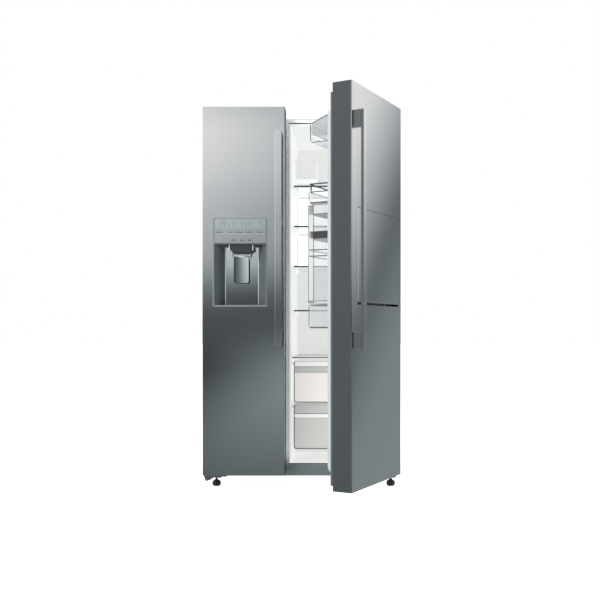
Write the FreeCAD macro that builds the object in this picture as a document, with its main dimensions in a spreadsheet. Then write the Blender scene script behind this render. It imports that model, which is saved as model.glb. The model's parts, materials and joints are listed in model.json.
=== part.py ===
import FreeCAD, Part
import os
import re

# Side by side refrigerator, modelled with both doors closed and then placed as it rests:
# the freezer door closed and the fridge door swung open on its hinge pins.
# In the closed model X runs to the right from the cabinet's centre line, Y runs to the back
# from the plane of the door fronts, and Z runs up from the floor. Sizes are in millimetres.

SIZES = {
    # cabinet
    "case_half": 455,
    "case_front": 106,
    "case_back": 720,
    "case_low": 52,
    "case_high": 1760,
    "sheet": 2,
    "frame_thick": 8,
    "opening_low": 106,
    "opening_high": 1744,
    "mullion_left": -98,
    "mullion_right": -58,
    "opening_side": 404,
    "slack": 0.1,
    "cut_past": 1,
    # compartments
    "inner_low": 110,
    "inner_high": 1728,
    "inner_back": 633,
    "inner_side": 400,
    "fridge_left": -48,
    "freezer_right": -104,
    "liner_wall": 2.5,
    "flange_thick": 3,
    "flange_gap": 0.3,
    "hump_front": 480,
    "hump_high": 302,
    "engine_front": 500,
    "engine_high": 286,
    "cover_high": 320,
    # shelves
    "shelf_front": 258,
    "shelf_back": 628,
    "shelf_top_one": 1469,
    "shelf_top_two": 1269,
    "shelf_top_three": 1069,
    "shelf_top_four": 849,
    "glass_thick": 4,
    "rail_tall": 10,
    "trim_lip": 1,
    "trim_deep": 8,
    "trim_tall": 5,
    "trim_back_deep": 6,
    "shelf_gap": 4,
    "ledge_tall": 5,
    "ledge_wide": 10,
    # light and air
    "duct_right": 62,
    "duct_deep": 152,
    "duct_low": 1543,
    "duct_high": 1650,
    "duct_slot_left": -36,
    "duct_slot_right": 30,
    "duct_slot_deep": 20,
    "duct_slot_low": 1552,
    "duct_slot_high": 1570,
    "light_low": 1085,
    "light_high": 1530,
    "light_thick": 3,
    # crisper drawers
    "crisper_front": 155,
    "crisper_back": 470,
    "crisper_left": -34,
    "crisper_right": 300,
    "crisper_wall": 3,
    "crisper_cover_low": 610,
    "crisper_cover_high": 618,
    "upper_low": 397,
    "upper_high": 600,
    "lower_low": 171,
    "lower_high": 390,
    "crisper_lip": 12,
    "crisper_round": 8,
    "grip_thick": 4,
    "upper_grip_low": 548,
    "upper_grip_high": 570,
    "lower_grip_low": 327,
    "lower_grip_high": 342,
    "runner_start": 15,
    "runner_wide": 8,
    "runner_tall": 6,
    # freezer compartment
    "wire": 5,
    "wire_pitch": 24,
    "wire_count": 11,
    "freezer_shelf_front": 225,
    "freezer_shelf_back": 575,
    "freezer_shelf_one": 1290,
    "freezer_shelf_two": 1000,
    "freezer_shelf_three": 700,
    "basket_front": 215,
    "basket_wall": 2.5,
    "basket_gap": 2,
    "basket_upper_low": 420,
    "basket_upper_high": 600,
    "basket_lower_low": 130,
    "basket_lower_high": 290,
    "bucket_left": -392,
    "bucket_right": -150,
    "bucket_front": 225,
    "bucket_back": 574,
    "bucket_low": 1330,
    "bucket_high": 1520,
    "auger_x": -271,
    "auger_z": 1395,
    "auger_shaft": 6,
    "auger_reach": 48,
    "auger_blade": 4,
    "auger_turns": 10,
    "fit_gap": 0.05,
    "ice_maker_low": 1560,
    "ice_maker_high": 1660,
    "ice_maker_left": -380,
    "ice_maker_right": -230,
    "ice_maker_front": 400,
    "feeler_long": 34,
    "coil_low": 420,
    "coil_high": 1080,
    "coil_front": 594,
    "coil_fins": 14,
    "coil_left": -376,
    "coil_right": -128,
    "fin_thick": 2,
    "tube_side": 9,
    "cover_front": 580,
    "cover_thick": 4,
    "cold_fan_x": -252,
    "cold_fan_z": 1190,
    "fan_reach": 55,
    "fan_hole": 62,
    "fan_hub": 16,
    "fan_blades": 5,
    "fan_pitch": 30,
    "fan_deep": 18,
    # machine room
    "floor_low": 54,
    "compressor_x": 230,
    "compressor_y": 608,
    "compressor_reach": 82,
    "compressor_tall": 150,
    "compressor_low": 66,
    "compressor_round": 34,
    "foot_plate": 6,
    "pan_left": -360,
    "pan_right": -100,
    "pan_front": 545,
    "pan_back": 700,
    "pan_high": 74,
    "condenser_low": 84,
    "condenser_high": 250,
    "condenser_fins": 12,
    "shroud_x": -60,
    "shroud_thick": 4,
    "warm_fan_z": 165,
    "slot_tall": 6,
    "slot_pitch": 18,
    "slot_count": 9,
    "slot_long": 300,
    # feet and rollers
    "foot_left_x": -408,
    "foot_right_x": 432,
    "foot_y": 127,
    "pad_reach": 20.5,
    "pad_tall": 26,
    "boss_reach": 12,
    "boss_low": 40,
    "stud_reach": 5,
    "roller_reach": 18,
    "roller_y": 660,
    "roller_x": 395,
    "roller_wide": 24,
    "axle_reach": 4,
    "ear_thick": 4,
    "ear_gap": 3,
    # hinges
    "pivot_x": 430,
    "pivot_y": 38,
    "pin_reach": 6,
    "pin_long": 16,
    "hinge_gap": 1,
    "hinge_thick": 3,
    "hinge_inner": 408,
    "hinge_outer": 452,
    "hinge_back": 205,
    "riser_front": 118,
    "hinge_cover_front": 145,
    "cover_side": 9,
    "hinge_cover_back": 235,
    "hinge_cover_high": 1788,
    "bracket_inner": 355,
    "bracket_thick": 5,
    "bracket_gap": 2,
    "bracket_edge": 56,
    "bracket_low": 41,
    "bracket_skirt": 9,
    "bracket_round": 6,
    "bracket_tab": 428,
    # doors
    "door_low": 70,
    "door_high": 1793,
    "door_slab": 90,
    "door_skin": 1.2,
    "door_round": 3,
    "freezer_free": -70,
    "fridge_free": -64,
    "cap_tall": 18,
    "liner_sheet": 2,
    "dyke_low": 132,
    "dyke_high": 1712,
    "dyke_wall": 12,
    "dyke_round": 36,
    "freezer_dyke_back": 140,
    "fridge_dyke_back": 147,
    "freezer_dyke_left": -392,
    "freezer_dyke_right": -132,
    "fridge_dyke_left": -8,
    "fridge_dyke_right": 365,
    "seal_low": 90,
    "seal_high": 1758,
    "seal_wide": 16,
    "seal_back": 105.3,
    "seal_hinge_side": 435,
    "seal_free_side": 8,
    "seal_round": 14,
    # handles
    "bar_near": 10.3,
    "bar_far": 42.5,
    "bar_front": -50,
    "bar_back": -37.5,
    "bar_low": 673,
    "bar_high": 1670,
    "bar_block": 70,
    "bar_round": 1.5,
    # ice and water dispenser
    "bezel_left": -406,
    "bezel_right": -152,
    "bezel_low": 857,
    "bezel_high": 1276,
    "bezel_proud": 2,
    "bezel_lap": 2,
    "recess_left": -398.5,
    "recess_right": -156.5,
    "recess_low": 863,
    "recess_high": 1153,
    "recess_back": 72.5,
    "recess_taper": 40,
    "housing_back": 75,
    "panel_low": 1156,
    "panel_high": 1272,
    "panel_back": 40,
    "panel_thick": 6,
    "panel_proud": 1.5,
    "nozzle_left": -328,
    "nozzle_right": -223,
    "nozzle_low": 1111,
    "nozzle_front": 12,
    "nozzle_back": 62,
    "nozzle_chamfer": 12,
    "chute_left": -304,
    "chute_right": -247,
    "chute_front": 16,
    "chute_back": 34,
    "paddle_left": -314,
    "paddle_right": -240,
    "paddle_low": 972,
    "paddle_high": 1096,
    "paddle_front": 40,
    "paddle_back": 48,
    "paddle_pivot_z": 1101,
    "paddle_pivot_y": 47,
    "paddle_rod": 3,
    "paddle_web": 2,
    "paddle_hollow": 110,
    "paddle_sink": 4,
    "ear_deep": 7,
    # door bins
    "bin_wall": 3,
    "bin_front": 92.5,
    "freezer_bin_back": 200,
    "freezer_bin_left": -379,
    "freezer_bin_right": -145,
    "freezer_bin_tall": 105,
    "freezer_bin_base_one": 200,
    "freezer_bin_base_two": 500,
    "freezer_bin_base_three": 800,
    "freezer_bin_base_four": 1420,
    "bin_back": 247,
    "bin_left": 5,
    "bin_right": 352,
    "bottle_base": 1303,
    "bottle_top": 1352,
    "bottle_rail_low": 1384,
    "bottle_rail_high": 1391,
    "low_bin_base": 758,
    "low_bin_top": 860,
    "dairy_low": 1567,
    "dairy_step": 1595,
    "dairy_back": 237,
    "lid_thick": 3,
    "lid_pivot_y": 158,
    "lid_pivot_z": 1676,
    "lid_rod": 3,
    "lid_ear": 6,
    "lid_slope": 21,
    "lid_long": 79,
    "lid_flap_low": 1602,
    "lid_flap_high": 1650,
    "lid_flap_back": 232,
    # home bar
    "bar_door_left": -7,
    "bar_door_right": 423,
    "bar_door_low": 868,
    "bar_door_high": 1269,
    "bar_gap": 2,
    "bar_gap_low": 10,
    "bar_fold": 12,
    "bar_seat": 45.2,
    "seat_thick": 2,
    "bar_plug_back": 41.8,
    "bar_tray_front": 30,
    "hole_left": 16,
    "hole_right": 341,
    "hole_low": 886,
    "hole_high": 1250,
    "bar_pivot_y": 12,
    "bar_pivot_z": 876,
    "bar_pin": 3,
    "bar_seal": 10,
    "seal_inset": 1,
    "house_low": 866,
    "house_high": 1296,
    "house_shelf": 1147,
    "house_tray_high": 1180,
    # pose and frame
    "door_angle": 63,
    "shift_x": 10,
    "shift_y": 143,
}

doc = FreeCAD.newDocument("Refrigerator")
PIECES = []


def make_sheet():
    """Puts every driving dimension in a spreadsheet cell with its own alias."""
    sheet = doc.addObject("Spreadsheet::Sheet", "Dims")
    for row, (alias, value) in enumerate(SIZES.items(), start=1):
        sheet.set(f"A{row}", alias)
        sheet.set(f"B{row}", str(value))
        sheet.setAlias(f"B{row}", alias)
    doc.recompute()
    return sheet


sheet = make_sheet()

# least cosine between an edge and an axis that it runs along
PARALLEL = 0.99


def bound(text):
    """Turns 'case_half - sheet' into the expression 'Dims.case_half - Dims.sheet'."""
    return re.sub(r"[a-z_]{3,}", lambda word: "Dims." + word.group(0), str(text))


def value(text):
    """Works out an expression in the sheet's aliases, for the few shapes made in code."""
    total = 0.0
    for sign, word in re.findall(r"([+-]?)\s*([a-z_]{3,})", text):
        total += -sheet.get(word) if sign == "-" else sheet.get(word)
    return total


class Piece:
    """One sub-part: a body built up from boxes and rods, then placed with its assembly."""

    TURN = {
        "x": FreeCAD.Rotation(FreeCAD.Vector(0, 1, 0), 90),
        "y": FreeCAD.Rotation(FreeCAD.Vector(1, 0, 0), -90),
        "z": FreeCAD.Rotation(),
    }

    def __init__(self, name):
        self.body = doc.addObject("PartDesign::Body", name)
        self.body.Label = name
        self.body.AllowCompound = True
        self.count = 0
        PIECES.append(self)

    def feature(self, kind):
        self.count += 1
        return self.body.newObject("PartDesign::" + kind, f"{self.body.Name}_{self.count}")

    def block(self, kind, x, y, z):
        box = self.feature(kind)
        for side, axis, (low, high) in (("Length", "x", x), ("Width", "y", y), ("Height", "z", z)):
            box.setExpression(side, bound(f"({high}) - ({low})"))
            box.setExpression("Placement.Base." + axis, bound(low))
        return box

    def slanted(self, kind, x, corner, deep, tall):
        """A box whose top slopes down towards the back, from its lower front edge."""
        box = self.feature(kind)
        box.setExpression("Length", bound(f"({x[1]}) - ({x[0]})"))
        box.setExpression("Width", bound(deep))
        box.setExpression("Height", bound(tall))
        tilt = FreeCAD.Rotation(FreeCAD.Vector(1, 0, 0), -sheet.get("lid_slope"))
        box.Placement = FreeCAD.Placement(FreeCAD.Vector(), tilt)
        for axis, place in zip("xyz", (x[0], *corner)):
            box.setExpression("Placement.Base." + axis, bound(place))
        return box

    def tapered(self, x, y, z, taper):
        """A hollow whose sides close in by the taper from its front to its back."""
        hollow = self.feature("SubtractiveWedge")
        ends = {
            "Xmin": x[0],
            "Xmax": x[1],
            "X2min": f"{x[0]} + {taper}",
            "X2max": f"{x[1]} - {taper}",
            "Ymin": y[0],
            "Ymax": y[1],
            "Zmin": z[0],
            "Zmax": z[1],
            "Z2min": z[0],
            "Z2max": z[1],
        }
        for side, place in ends.items():
            hollow.setExpression(side, bound(place))
        return hollow

    def add(self, x, y, z):
        return self.block("AdditiveBox", x, y, z)

    def cut(self, x, y, z):
        return self.block("SubtractiveBox", x, y, z)

    def round_bar(self, kind, axis, centre, radius, span):
        bar = self.feature(kind)
        bar.setExpression("Radius", bound(radius))
        bar.setExpression("Height", bound(f"({span[1]}) - ({span[0]})"))
        bar.Placement = FreeCAD.Placement(FreeCAD.Vector(), self.TURN[axis])
        places = dict(zip([a for a in "xyz" if a != axis], centre))
        places[axis] = span[0]
        for letter, place in places.items():
            bar.setExpression("Placement.Base." + letter, bound(place))
        return bar

    def rod(self, axis, centre, radius, span):
        return self.round_bar("AdditiveCylinder", axis, centre, radius, span)

    def bore(self, axis, centre, radius, span):
        return self.round_bar("SubtractiveCylinder", axis, centre, radius, span)

    def soften(self, axis, radius, keep=lambda middle: True):
        """Fillets the straight edges along an axis whose middle passes the test."""
        doc.recompute()
        tip = self.body.Tip
        along = FreeCAD.Vector(*[float(axis == letter) for letter in "xyz"])
        names = []
        for number, edge in enumerate(tip.Shape.Edges, start=1):
            straight = isinstance(edge.Curve, Part.Line)
            if straight and abs(edge.Curve.Direction.dot(along)) > PARALLEL and keep(edge.CenterOfMass):
                names.append(f"Edge{number}")
        fillet = self.feature("Fillet")
        fillet.Base = (tip, names)
        fillet.setExpression("Radius", bound(radius))

    def place(self, group):
        """Moves the closed model's sub-part to where it rests in the part's own frame."""
        base = FreeCAD.Vector(-sheet.get("shift_x"), -sheet.get("shift_y"), 0)
        angle = sheet.get("door_angle") if group == "fridge_door" else 0
        pivot = FreeCAD.Vector(sheet.get("pivot_x"), sheet.get("pivot_y"), 0)
        turn = FreeCAD.Rotation(FreeCAD.Vector(0, 0, 1), angle)
        self.body.Placement = FreeCAD.Placement(base, turn, pivot)


class Bundle(Piece):
    """One sub-part with many repeated pieces: plain boxes and rods fused in one step."""

    KINDS = {"AdditiveBox": "Part::Box", "AdditiveCylinder": "Part::Cylinder"}

    def __init__(self, name):
        self.body = doc.addObject("Part::MultiFuse", name)
        self.body.Label = name
        self.members = []
        PIECES.append(self)

    def feature(self, kind):
        name = f"{self.body.Name}_{len(self.members) + 1}"
        member = doc.addObject(self.KINDS[kind], name)
        self.members.append(member)
        self.body.Shapes = self.members
        return member


# ---------------------------------------------------------------- cabinet shell

CASE_X = ("-case_half", "case_half")
INSIDE_X = ("-case_half + sheet", "case_half - sheet")
CASE_Y = ("case_front", "case_back")
CASE_Z = ("case_low", "case_high")


def side_panels():
    for name, x in (
        ("side_panel_left", ("-case_half", "-case_half + sheet")),
        ("side_panel_right", ("case_half - sheet", "case_half")),
    ):
        Piece(name).add(x, CASE_Y, CASE_Z)


def top_panel():
    Piece("top_panel").add(INSIDE_X, CASE_Y, ("case_high - sheet", "case_high"))


def back_panel():
    Piece("back_panel").add(
        INSIDE_X, ("case_back - sheet", "case_back"), ("cover_high", "case_high - sheet")
    )


def front_frame():
    """Steel frame round both openings; the strip between them is the mullion."""
    frame = Piece("front_frame")
    depth = ("case_front", "case_front + frame_thick")
    frame.add(INSIDE_X, depth, ("case_low", "case_high - sheet"))
    height = ("opening_low", "opening_high")
    frame.cut(("-opening_side", "mullion_left"), CASE_Y, height)
    frame.cut(("mullion_right", "opening_side"), CASE_Y, height)


def liner(name, x, opening):
    """Plastic tub of one compartment, with a front flange and a hump over the machine room."""
    tub = Piece(name)
    low, high = x
    outer = (f"{low} - liner_wall", f"{high} + liner_wall")
    back = "inner_back + liner_wall"
    front = "case_front + liner_wall / 2"
    tub.add(outer, (front, back), ("inner_low - liner_wall", "inner_high + liner_wall"))
    flange_x = (f"{opening[0]} + flange_gap", f"{opening[1]} - flange_gap")
    tub.add(
        flange_x,
        ("case_front + flange_gap", "case_front + flange_thick"),
        ("opening_low + flange_gap", "opening_high - flange_gap"),
    )
    tub.cut(x, ("case_front", "inner_back"), ("hump_high", "inner_high"))
    tub.cut(x, ("case_front", "hump_front"), ("inner_low", "hump_high + cut_past"))
    tub.cut(
        (f"{outer[0]} - cut_past", f"{outer[1]} + cut_past"),
        ("hump_front + liner_wall", f"{back} + cut_past"),
        ("inner_low - liner_wall - cut_past", "hump_high - liner_wall"),
    )
    return tub


def fridge_liner():
    tub = liner("fridge_liner", ("fridge_left", "inner_side"), ("mullion_right", "opening_side"))
    for top in ("shelf_top_one", "shelf_top_two", "shelf_top_three", "shelf_top_four"):
        level = (f"{top} - rail_tall - ledge_tall", f"{top} - rail_tall")
        depth = ("shelf_front + trim_deep", "shelf_back")
        tub.add(("fridge_left - cut_past", "fridge_left + ledge_wide"), depth, level)
        tub.add(("inner_side - ledge_wide", "inner_side + cut_past"), depth, level)


def freezer_liner():
    tub = liner("freezer_liner", ("-inner_side", "freezer_right"), ("-opening_side", "mullion_left"))
    for top in ("freezer_shelf_one", "freezer_shelf_two", "freezer_shelf_three"):
        level = (f"{top} - wire - ledge_tall", f"{top} - wire")
        depth = ("freezer_shelf_front", "freezer_shelf_back")
        tub.add(("-inner_side - cut_past", "-inner_side + ledge_wide"), depth, level)
        tub.add(("freezer_right - ledge_wide", "freezer_right + cut_past"), depth, level)


def foam_insulation():
    """Foam that fills the cabinet between the sheet metal and the two tubs."""
    foam = Piece("foam_insulation")
    foam.add(
        INSIDE_X,
        ("case_front + frame_thick", "case_back - sheet"),
        ("floor_low", "case_high - sheet"),
    )
    for low, high in (("fridge_left", "inner_side"), ("-inner_side", "freezer_right")):
        width = (f"{low} - liner_wall", f"{high} + liner_wall")
        foam.cut(
            width,
            CASE_Y[:1] + ("inner_back + liner_wall",),
            ("hump_high - liner_wall", "inner_high + liner_wall"),
        )
        foam.cut(
            width,
            CASE_Y[:1] + ("hump_front + liner_wall",),
            ("inner_low - liner_wall", "hump_high"),
        )
    foam.cut(CASE_X, ("engine_front", "case_back"), ("case_low", "engine_high"))
    foam.cut(CASE_X, ("case_back - frame_thick", "case_back"), ("case_low", "cover_high"))


# ---------------------------------------------------------------- fridge compartment


def shelves():
    """Four glass shelves, each held in a plastic trim with side rails."""
    glass = Piece("shelf_glass")
    trims = Piece("shelf_trims")
    left = "fridge_left + shelf_gap"
    right = "inner_side - shelf_gap"
    for top in ("shelf_top_one", "shelf_top_two", "shelf_top_three", "shelf_top_four"):
        plate = (f"{top} - glass_thick", top)
        glass.add(
            (left, right), ("shelf_front + trim_deep", "shelf_back - trim_back_deep"), plate
        )
        band = (f"{top} - trim_tall", f"{top} + trim_lip")
        trims.add((left, right), ("shelf_front", "shelf_front + trim_deep"), band)
        trims.add((left, right), ("shelf_back - trim_back_deep", "shelf_back"), band)
        rail = (f"{top} - rail_tall", f"{top} - glass_thick")
        trims.add((left, f"{left} + ledge_wide"), ("shelf_front", "shelf_back"), rail)
        trims.add((f"{right} - ledge_wide", right), ("shelf_front", "shelf_back"), rail)


def air_duct_cover():
    """Fan and air duct housing under the ceiling, with its outlet slot."""
    duct = Piece("air_duct_cover")
    front = "inner_back - duct_deep"
    duct.add(
        ("fridge_left + cut_past", "duct_right"),
        (front, "inner_back - flange_gap"),
        ("duct_low", "duct_high"),
    )
    duct.soften("z", "crisper_round", lambda middle: middle.y < value(front + " + cut_past"))
    duct.cut(
        ("duct_slot_left", "duct_slot_right"),
        (f"{front} - cut_past", f"{front} + duct_slot_deep"),
        ("duct_slot_low", "duct_slot_high"),
    )


def light_panel():
    Piece("light_panel").add(
        ("fridge_left + shelf_gap", "inner_side - shelf_gap"),
        ("inner_back - light_thick - flange_gap", "inner_back - flange_gap"),
        ("light_low", "light_high"),
    )


def crisper_cover():
    cover = Piece("crisper_cover")
    cover.add(
        ("fridge_left + cut_past", "inner_side - cut_past"),
        ("crisper_front + flange_thick", "shelf_back"),
        ("crisper_cover_low", "crisper_cover_high"),
    )
    cover.soften("x", "flange_thick", lambda middle: middle.y < value("crisper_front + frame_thick"))


def crisper_runners():
    """Rails on the left wall, and a spacer on the right that keeps the drawers off the door."""
    runners = Piece("crisper_runners")
    spacer_x = ("crisper_right + runner_wide + cut_past", "inner_side - cut_past")
    depth = ("crisper_front + runner_start", "crisper_back")
    runners.add(spacer_x, depth, ("inner_low + cut_past", "crisper_cover_low - cut_past"))
    for top in ("upper_high", "lower_high"):
        level = (f"{top} - crisper_lip - runner_tall", f"{top} - crisper_lip - flange_gap")
        runners.add(("fridge_left + flange_gap", "crisper_left - cut_past"), depth, level)
        right = ("crisper_right + cut_past", "crisper_right + runner_wide + 2 * cut_past")
        runners.add(right, depth, level)


def crisper(name, low, high, grip):
    """Clear drawer with a front grip band and side lips that ride on the runners."""
    drawer = Piece(name)
    width = ("crisper_left", "crisper_right")
    depth = ("crisper_front", "crisper_back - flange_gap")
    drawer.add(width, depth, (low, high))
    drawer.soften("z", "crisper_round")
    drawer.add(
        ("crisper_left - runner_wide", "crisper_right + runner_wide"),
        ("crisper_front + crisper_lip", "crisper_back - flange_gap"),
        (f"{high} - crisper_lip", high),
    )
    drawer.cut(
        ("crisper_left + crisper_wall", "crisper_right - crisper_wall"),
        ("crisper_front + crisper_wall", "crisper_back - crisper_wall"),
        (f"{low} + crisper_wall", f"{high} + cut_past"),
    )
    drawer.add(
        ("crisper_left + crisper_lip", "crisper_right - crisper_lip"),
        ("crisper_front - grip_thick", "crisper_front + cut_past"),
        grip,
    )


# ---------------------------------------------------------------- freezer compartment


def freezer_shelves():
    """Three wire shelves: a square rim with wires that run front to back."""
    rack = Bundle("freezer_shelves")
    left = "-inner_side + cut_past"
    right = "freezer_right - cut_past"
    depth = ("freezer_shelf_front", "freezer_shelf_back")
    for top in ("freezer_shelf_one", "freezer_shelf_two", "freezer_shelf_three"):
        level = (f"{top} - wire", top)
        for near in (left, f"{right} - wire"):
            rack.add((near, f"{near} + wire"), depth, level)
        for front in ("freezer_shelf_front", "freezer_shelf_back - wire"):
            rack.add((left, right), (front, f"{front} + wire"), level)
        for step in range(1, int(sheet.get("wire_count")) + 1):
            near = f"{left} + {step} * wire_pitch"
            rack.add((near, f"{near} + wire / 2"), depth, (f"{top} - wire / 2", top))


def freezer_baskets():
    baskets = Piece("freezer_baskets")
    tiers = (
        ("basket_upper_low", "basket_upper_high", "freezer_shelf_back"),
        ("basket_lower_low", "basket_lower_high", "hump_front - flange_thick"),
    )
    for low, high, back in tiers:
        width = ("-inner_side + basket_gap", "freezer_right - basket_gap")
        baskets.add(width, ("basket_front", back), (low, high))
        baskets.cut(
            ("-inner_side + basket_gap + basket_wall", "freezer_right - basket_gap - basket_wall"),
            ("basket_front + basket_wall", f"{back} - basket_wall"),
            (f"{low} + basket_wall", f"{high} + cut_past"),
        )


def ice_maker():
    maker = Piece("ice_maker")
    width = ("ice_maker_left", "ice_maker_right")
    depth = ("ice_maker_front", "bucket_back")
    maker.add(width, depth, ("ice_maker_low", "ice_maker_high"))
    maker.soften("y", "crisper_round")
    maker.cut(
        ("ice_maker_left + auger_reach / 2", "ice_maker_right - auger_reach / 4"),
        ("ice_maker_front + auger_reach / 4", "bucket_back - auger_reach / 4"),
        ("ice_maker_low + auger_reach", "ice_maker_high + cut_past"),
    )
    maker.add(
        ("ice_maker_right - wire", "ice_maker_right"),
        ("ice_maker_front - feeler_long", "ice_maker_front + cut_past"),
        ("ice_maker_low + wire", "ice_maker_low + 2 * wire"),
    )


def ice_bucket():
    bucket = Piece("ice_bucket")
    depth = ("bucket_front", "bucket_back")
    bucket.add(("bucket_left", "bucket_right"), depth, ("bucket_low", "bucket_high"))
    bucket.soften("y", "crisper_round", lambda middle: middle.z < value("bucket_low + cut_past"))
    bucket.cut(
        ("bucket_left + crisper_wall", "bucket_right - crisper_wall"),
        ("bucket_front + crisper_wall", "bucket_back - crisper_wall"),
        ("bucket_low + crisper_wall", "bucket_high + cut_past"),
    )
    bucket.bore(
        "y",
        ("auger_x", "auger_z"),
        "auger_shaft + fit_gap",
        ("bucket_back - 2 * crisper_wall", "bucket_back + cut_past"),
    )
    bucket.cut(
        ("auger_x - auger_reach", "auger_x + auger_reach"),
        ("bucket_front - cut_past", "bucket_front + 2 * crisper_wall"),
        ("bucket_low + crisper_wall", "auger_z"),
    )


def ice_auger():
    """Shaft along the bucket with a row of blades, each turned on from the one before it."""
    auger = Bundle("ice_auger")
    front = "bucket_front + 4 * crisper_wall"
    auger.rod("y", ("auger_x", "auger_z"), "auger_shaft", (front, "bucket_back"))
    turns = int(sheet.get("auger_turns"))
    length = value("bucket_back") - value("bucket_front") - 8 * sheet.get("crisper_wall")
    blade = sheet.get("auger_blade")
    start = value("bucket_front") + 4 * sheet.get("crisper_wall")
    for step in range(turns):
        arm = auger.feature("AdditiveBox")
        arm.setExpression("Length", bound("auger_reach"))
        arm.setExpression("Width", bound("auger_blade"))
        arm.setExpression("Height", bound("2 * auger_blade"))
        around = FreeCAD.Rotation(FreeCAD.Vector(0, 1, 0), step * 360 / turns)
        corner = around.multVec(FreeCAD.Vector(0, 0, -blade))
        along = start + (step + 0.5) * length / turns
        centre = FreeCAD.Vector(sheet.get("auger_x"), along, sheet.get("auger_z"))
        arm.Placement = FreeCAD.Placement(centre + corner, around)


def finned_coil(name, x, y, z, fins, extra=None):
    """Block of upright fins on straight tubes, as in an evaporator or a condenser."""
    coil = Bundle(name)
    for step in range(fins):
        near = f"{x[0]} + {step} * (({x[1]}) - ({x[0]}) - fin_thick) / {fins - 1}"
        coil.add((near, f"{near} + fin_thick"), y, z)
    rows = 4
    for row in range(rows):
        low = f"{z[0]} + {row + 0.5} * (({z[1]}) - ({z[0]})) / {rows} - tube_side / 2"
        middle = f"(({y[0]}) + ({y[1]})) / 2"
        coil.add(
            (x[0], x[1]),
            (f"{middle} - tube_side / 2", f"{middle} + tube_side / 2"),
            (low, f"{low} + tube_side"),
        )
    return coil


def evaporator():
    finned_coil(
        "evaporator",
        ("coil_left", "coil_right"),
        ("coil_front", "inner_back - cut_past"),
        ("coil_low", "coil_high"),
        int(sheet.get("coil_fins")),
    )


def evaporator_cover():
    """Back wall of the freezer in front of the coil, with the fan's hole and motor bracket."""
    cover = Piece("evaporator_cover")
    cover.add(
        ("-inner_side + cut_past", "freezer_right - cut_past"),
        ("cover_front", "cover_front + cover_thick"),
        ("hump_high + cut_past", "bucket_high"),
    )
    cover.bore(
        "y",
        ("cold_fan_x", "cold_fan_z"),
        "fan_hole",
        ("cover_front - cut_past", "cover_front + 2 * cover_thick"),
    )
    for side in ("-", "+"):
        centre = f"cold_fan_x {side} fan_hole {side} cover_thick"
        cover.add(
            (f"{centre} - cover_thick / 2", f"{centre} + cover_thick / 2"),
            ("cover_front", "inner_back - cut_past"),
            ("cold_fan_z - fan_hub", "cold_fan_z + fan_hub"),
        )
    cover.add(
        ("cold_fan_x - fan_hole - cover_thick", "cold_fan_x + fan_hole + cover_thick"),
        ("inner_back - 2 * cover_thick", "inner_back - cut_past"),
        ("cold_fan_z - fan_hub", "cold_fan_z + fan_hub"),
    )
    cover.bore(
        "y",
        ("cold_fan_x", "cold_fan_z"),
        "wire + fit_gap",
        ("cover_front", "inner_back"),
    )


def fan(name, axis, centre, span, shaft):
    """Fan rotor: hub, shaft and pitched blades."""
    rotor = Bundle(name)
    rotor.rod(axis, centre, "fan_hub", span)
    rotor.rod(axis, centre, "wire", shaft)
    blades = int(sheet.get("fan_blades"))
    middle = sum(value(end) for end in span) / 2
    spin_axis = FreeCAD.Vector(*[float(axis == letter) for letter in "xyz"])
    cross = [value(place) for place in centre]
    where = {letter: cross.pop(0) for letter in "xyz" if letter != axis}
    where[axis] = middle
    hub = FreeCAD.Vector(where["x"], where["y"], where["z"])
    out = FreeCAD.Vector(0, 0, 1)
    pitch = FreeCAD.Rotation(out, sheet.get("fan_pitch"))
    thin, wide = sheet.get("fin_thick"), sheet.get("fan_deep")
    half = FreeCAD.Vector(thin / 2, wide / 2, 0)
    if axis == "x":
        half = FreeCAD.Vector(wide / 2, thin / 2, 0)
    for step in range(blades):
        blade = rotor.feature("AdditiveBox")
        blade.setExpression("Length", bound("fan_deep" if axis == "x" else "fin_thick"))
        blade.setExpression("Width", bound("fin_thick" if axis == "x" else "fan_deep"))
        blade.setExpression("Height", bound("fan_reach"))
        turn = FreeCAD.Rotation(spin_axis, step * 360 / blades) * pitch
        blade.Placement = FreeCAD.Placement(hub - turn.multVec(half), turn)


def evaporator_fan():
    fan(
        "evaporator_fan",
        "y",
        ("cold_fan_x", "cold_fan_z"),
        ("cover_front + cover_thick + fin_thick", "cover_front + cover_thick + fan_hub"),
        ("cover_front + cover_thick + fin_thick", "inner_back - cut_past"),
    )


# ---------------------------------------------------------------- machine room


def base_pan():
    """Floor plate with the sockets of the front feet and the ears of the rear rollers."""
    base = Piece("base_pan")
    base.add(
        INSIDE_X, ("case_front + frame_thick", "case_back - 2 * sheet"), ("case_low", "floor_low")
    )
    for x in ("foot_left_x", "foot_right_x"):
        base.rod("z", (x, "foot_y"), "boss_reach", ("boss_low", "case_low + cut_past"))
        base.bore("z", (x, "foot_y"), "stud_reach + fit_gap", ("boss_low - cut_past", "case_high"))
    for side in ("-", "+"):
        for offset in ("- roller_wide / 2 - ear_gap - ear_thick", "+ roller_wide / 2 + ear_gap"):
            near = f"{side} roller_x {offset}"
            base.add(
                (near, f"{near} + ear_thick"),
                ("roller_y - roller_reach", "roller_y + roller_reach"),
                ("roller_reach - 2 * axle_reach", "case_low + cut_past"),
            )
    base.bore(
        "x", ("roller_y", "roller_reach"), "axle_reach + fit_gap", ("-case_half", "case_half")
    )


def feet():
    """Levelling feet: a pad on a threaded stud that screws into the floor plate."""
    for name, x in (("foot_left", "foot_left_x"), ("foot_right", "foot_right_x")):
        foot = Piece(name)
        foot.rod("z", (x, "foot_y"), "pad_reach", ("0", "pad_tall"))
        foot.rod("z", (x, "foot_y"), "stud_reach", ("0", "case_low"))


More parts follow.
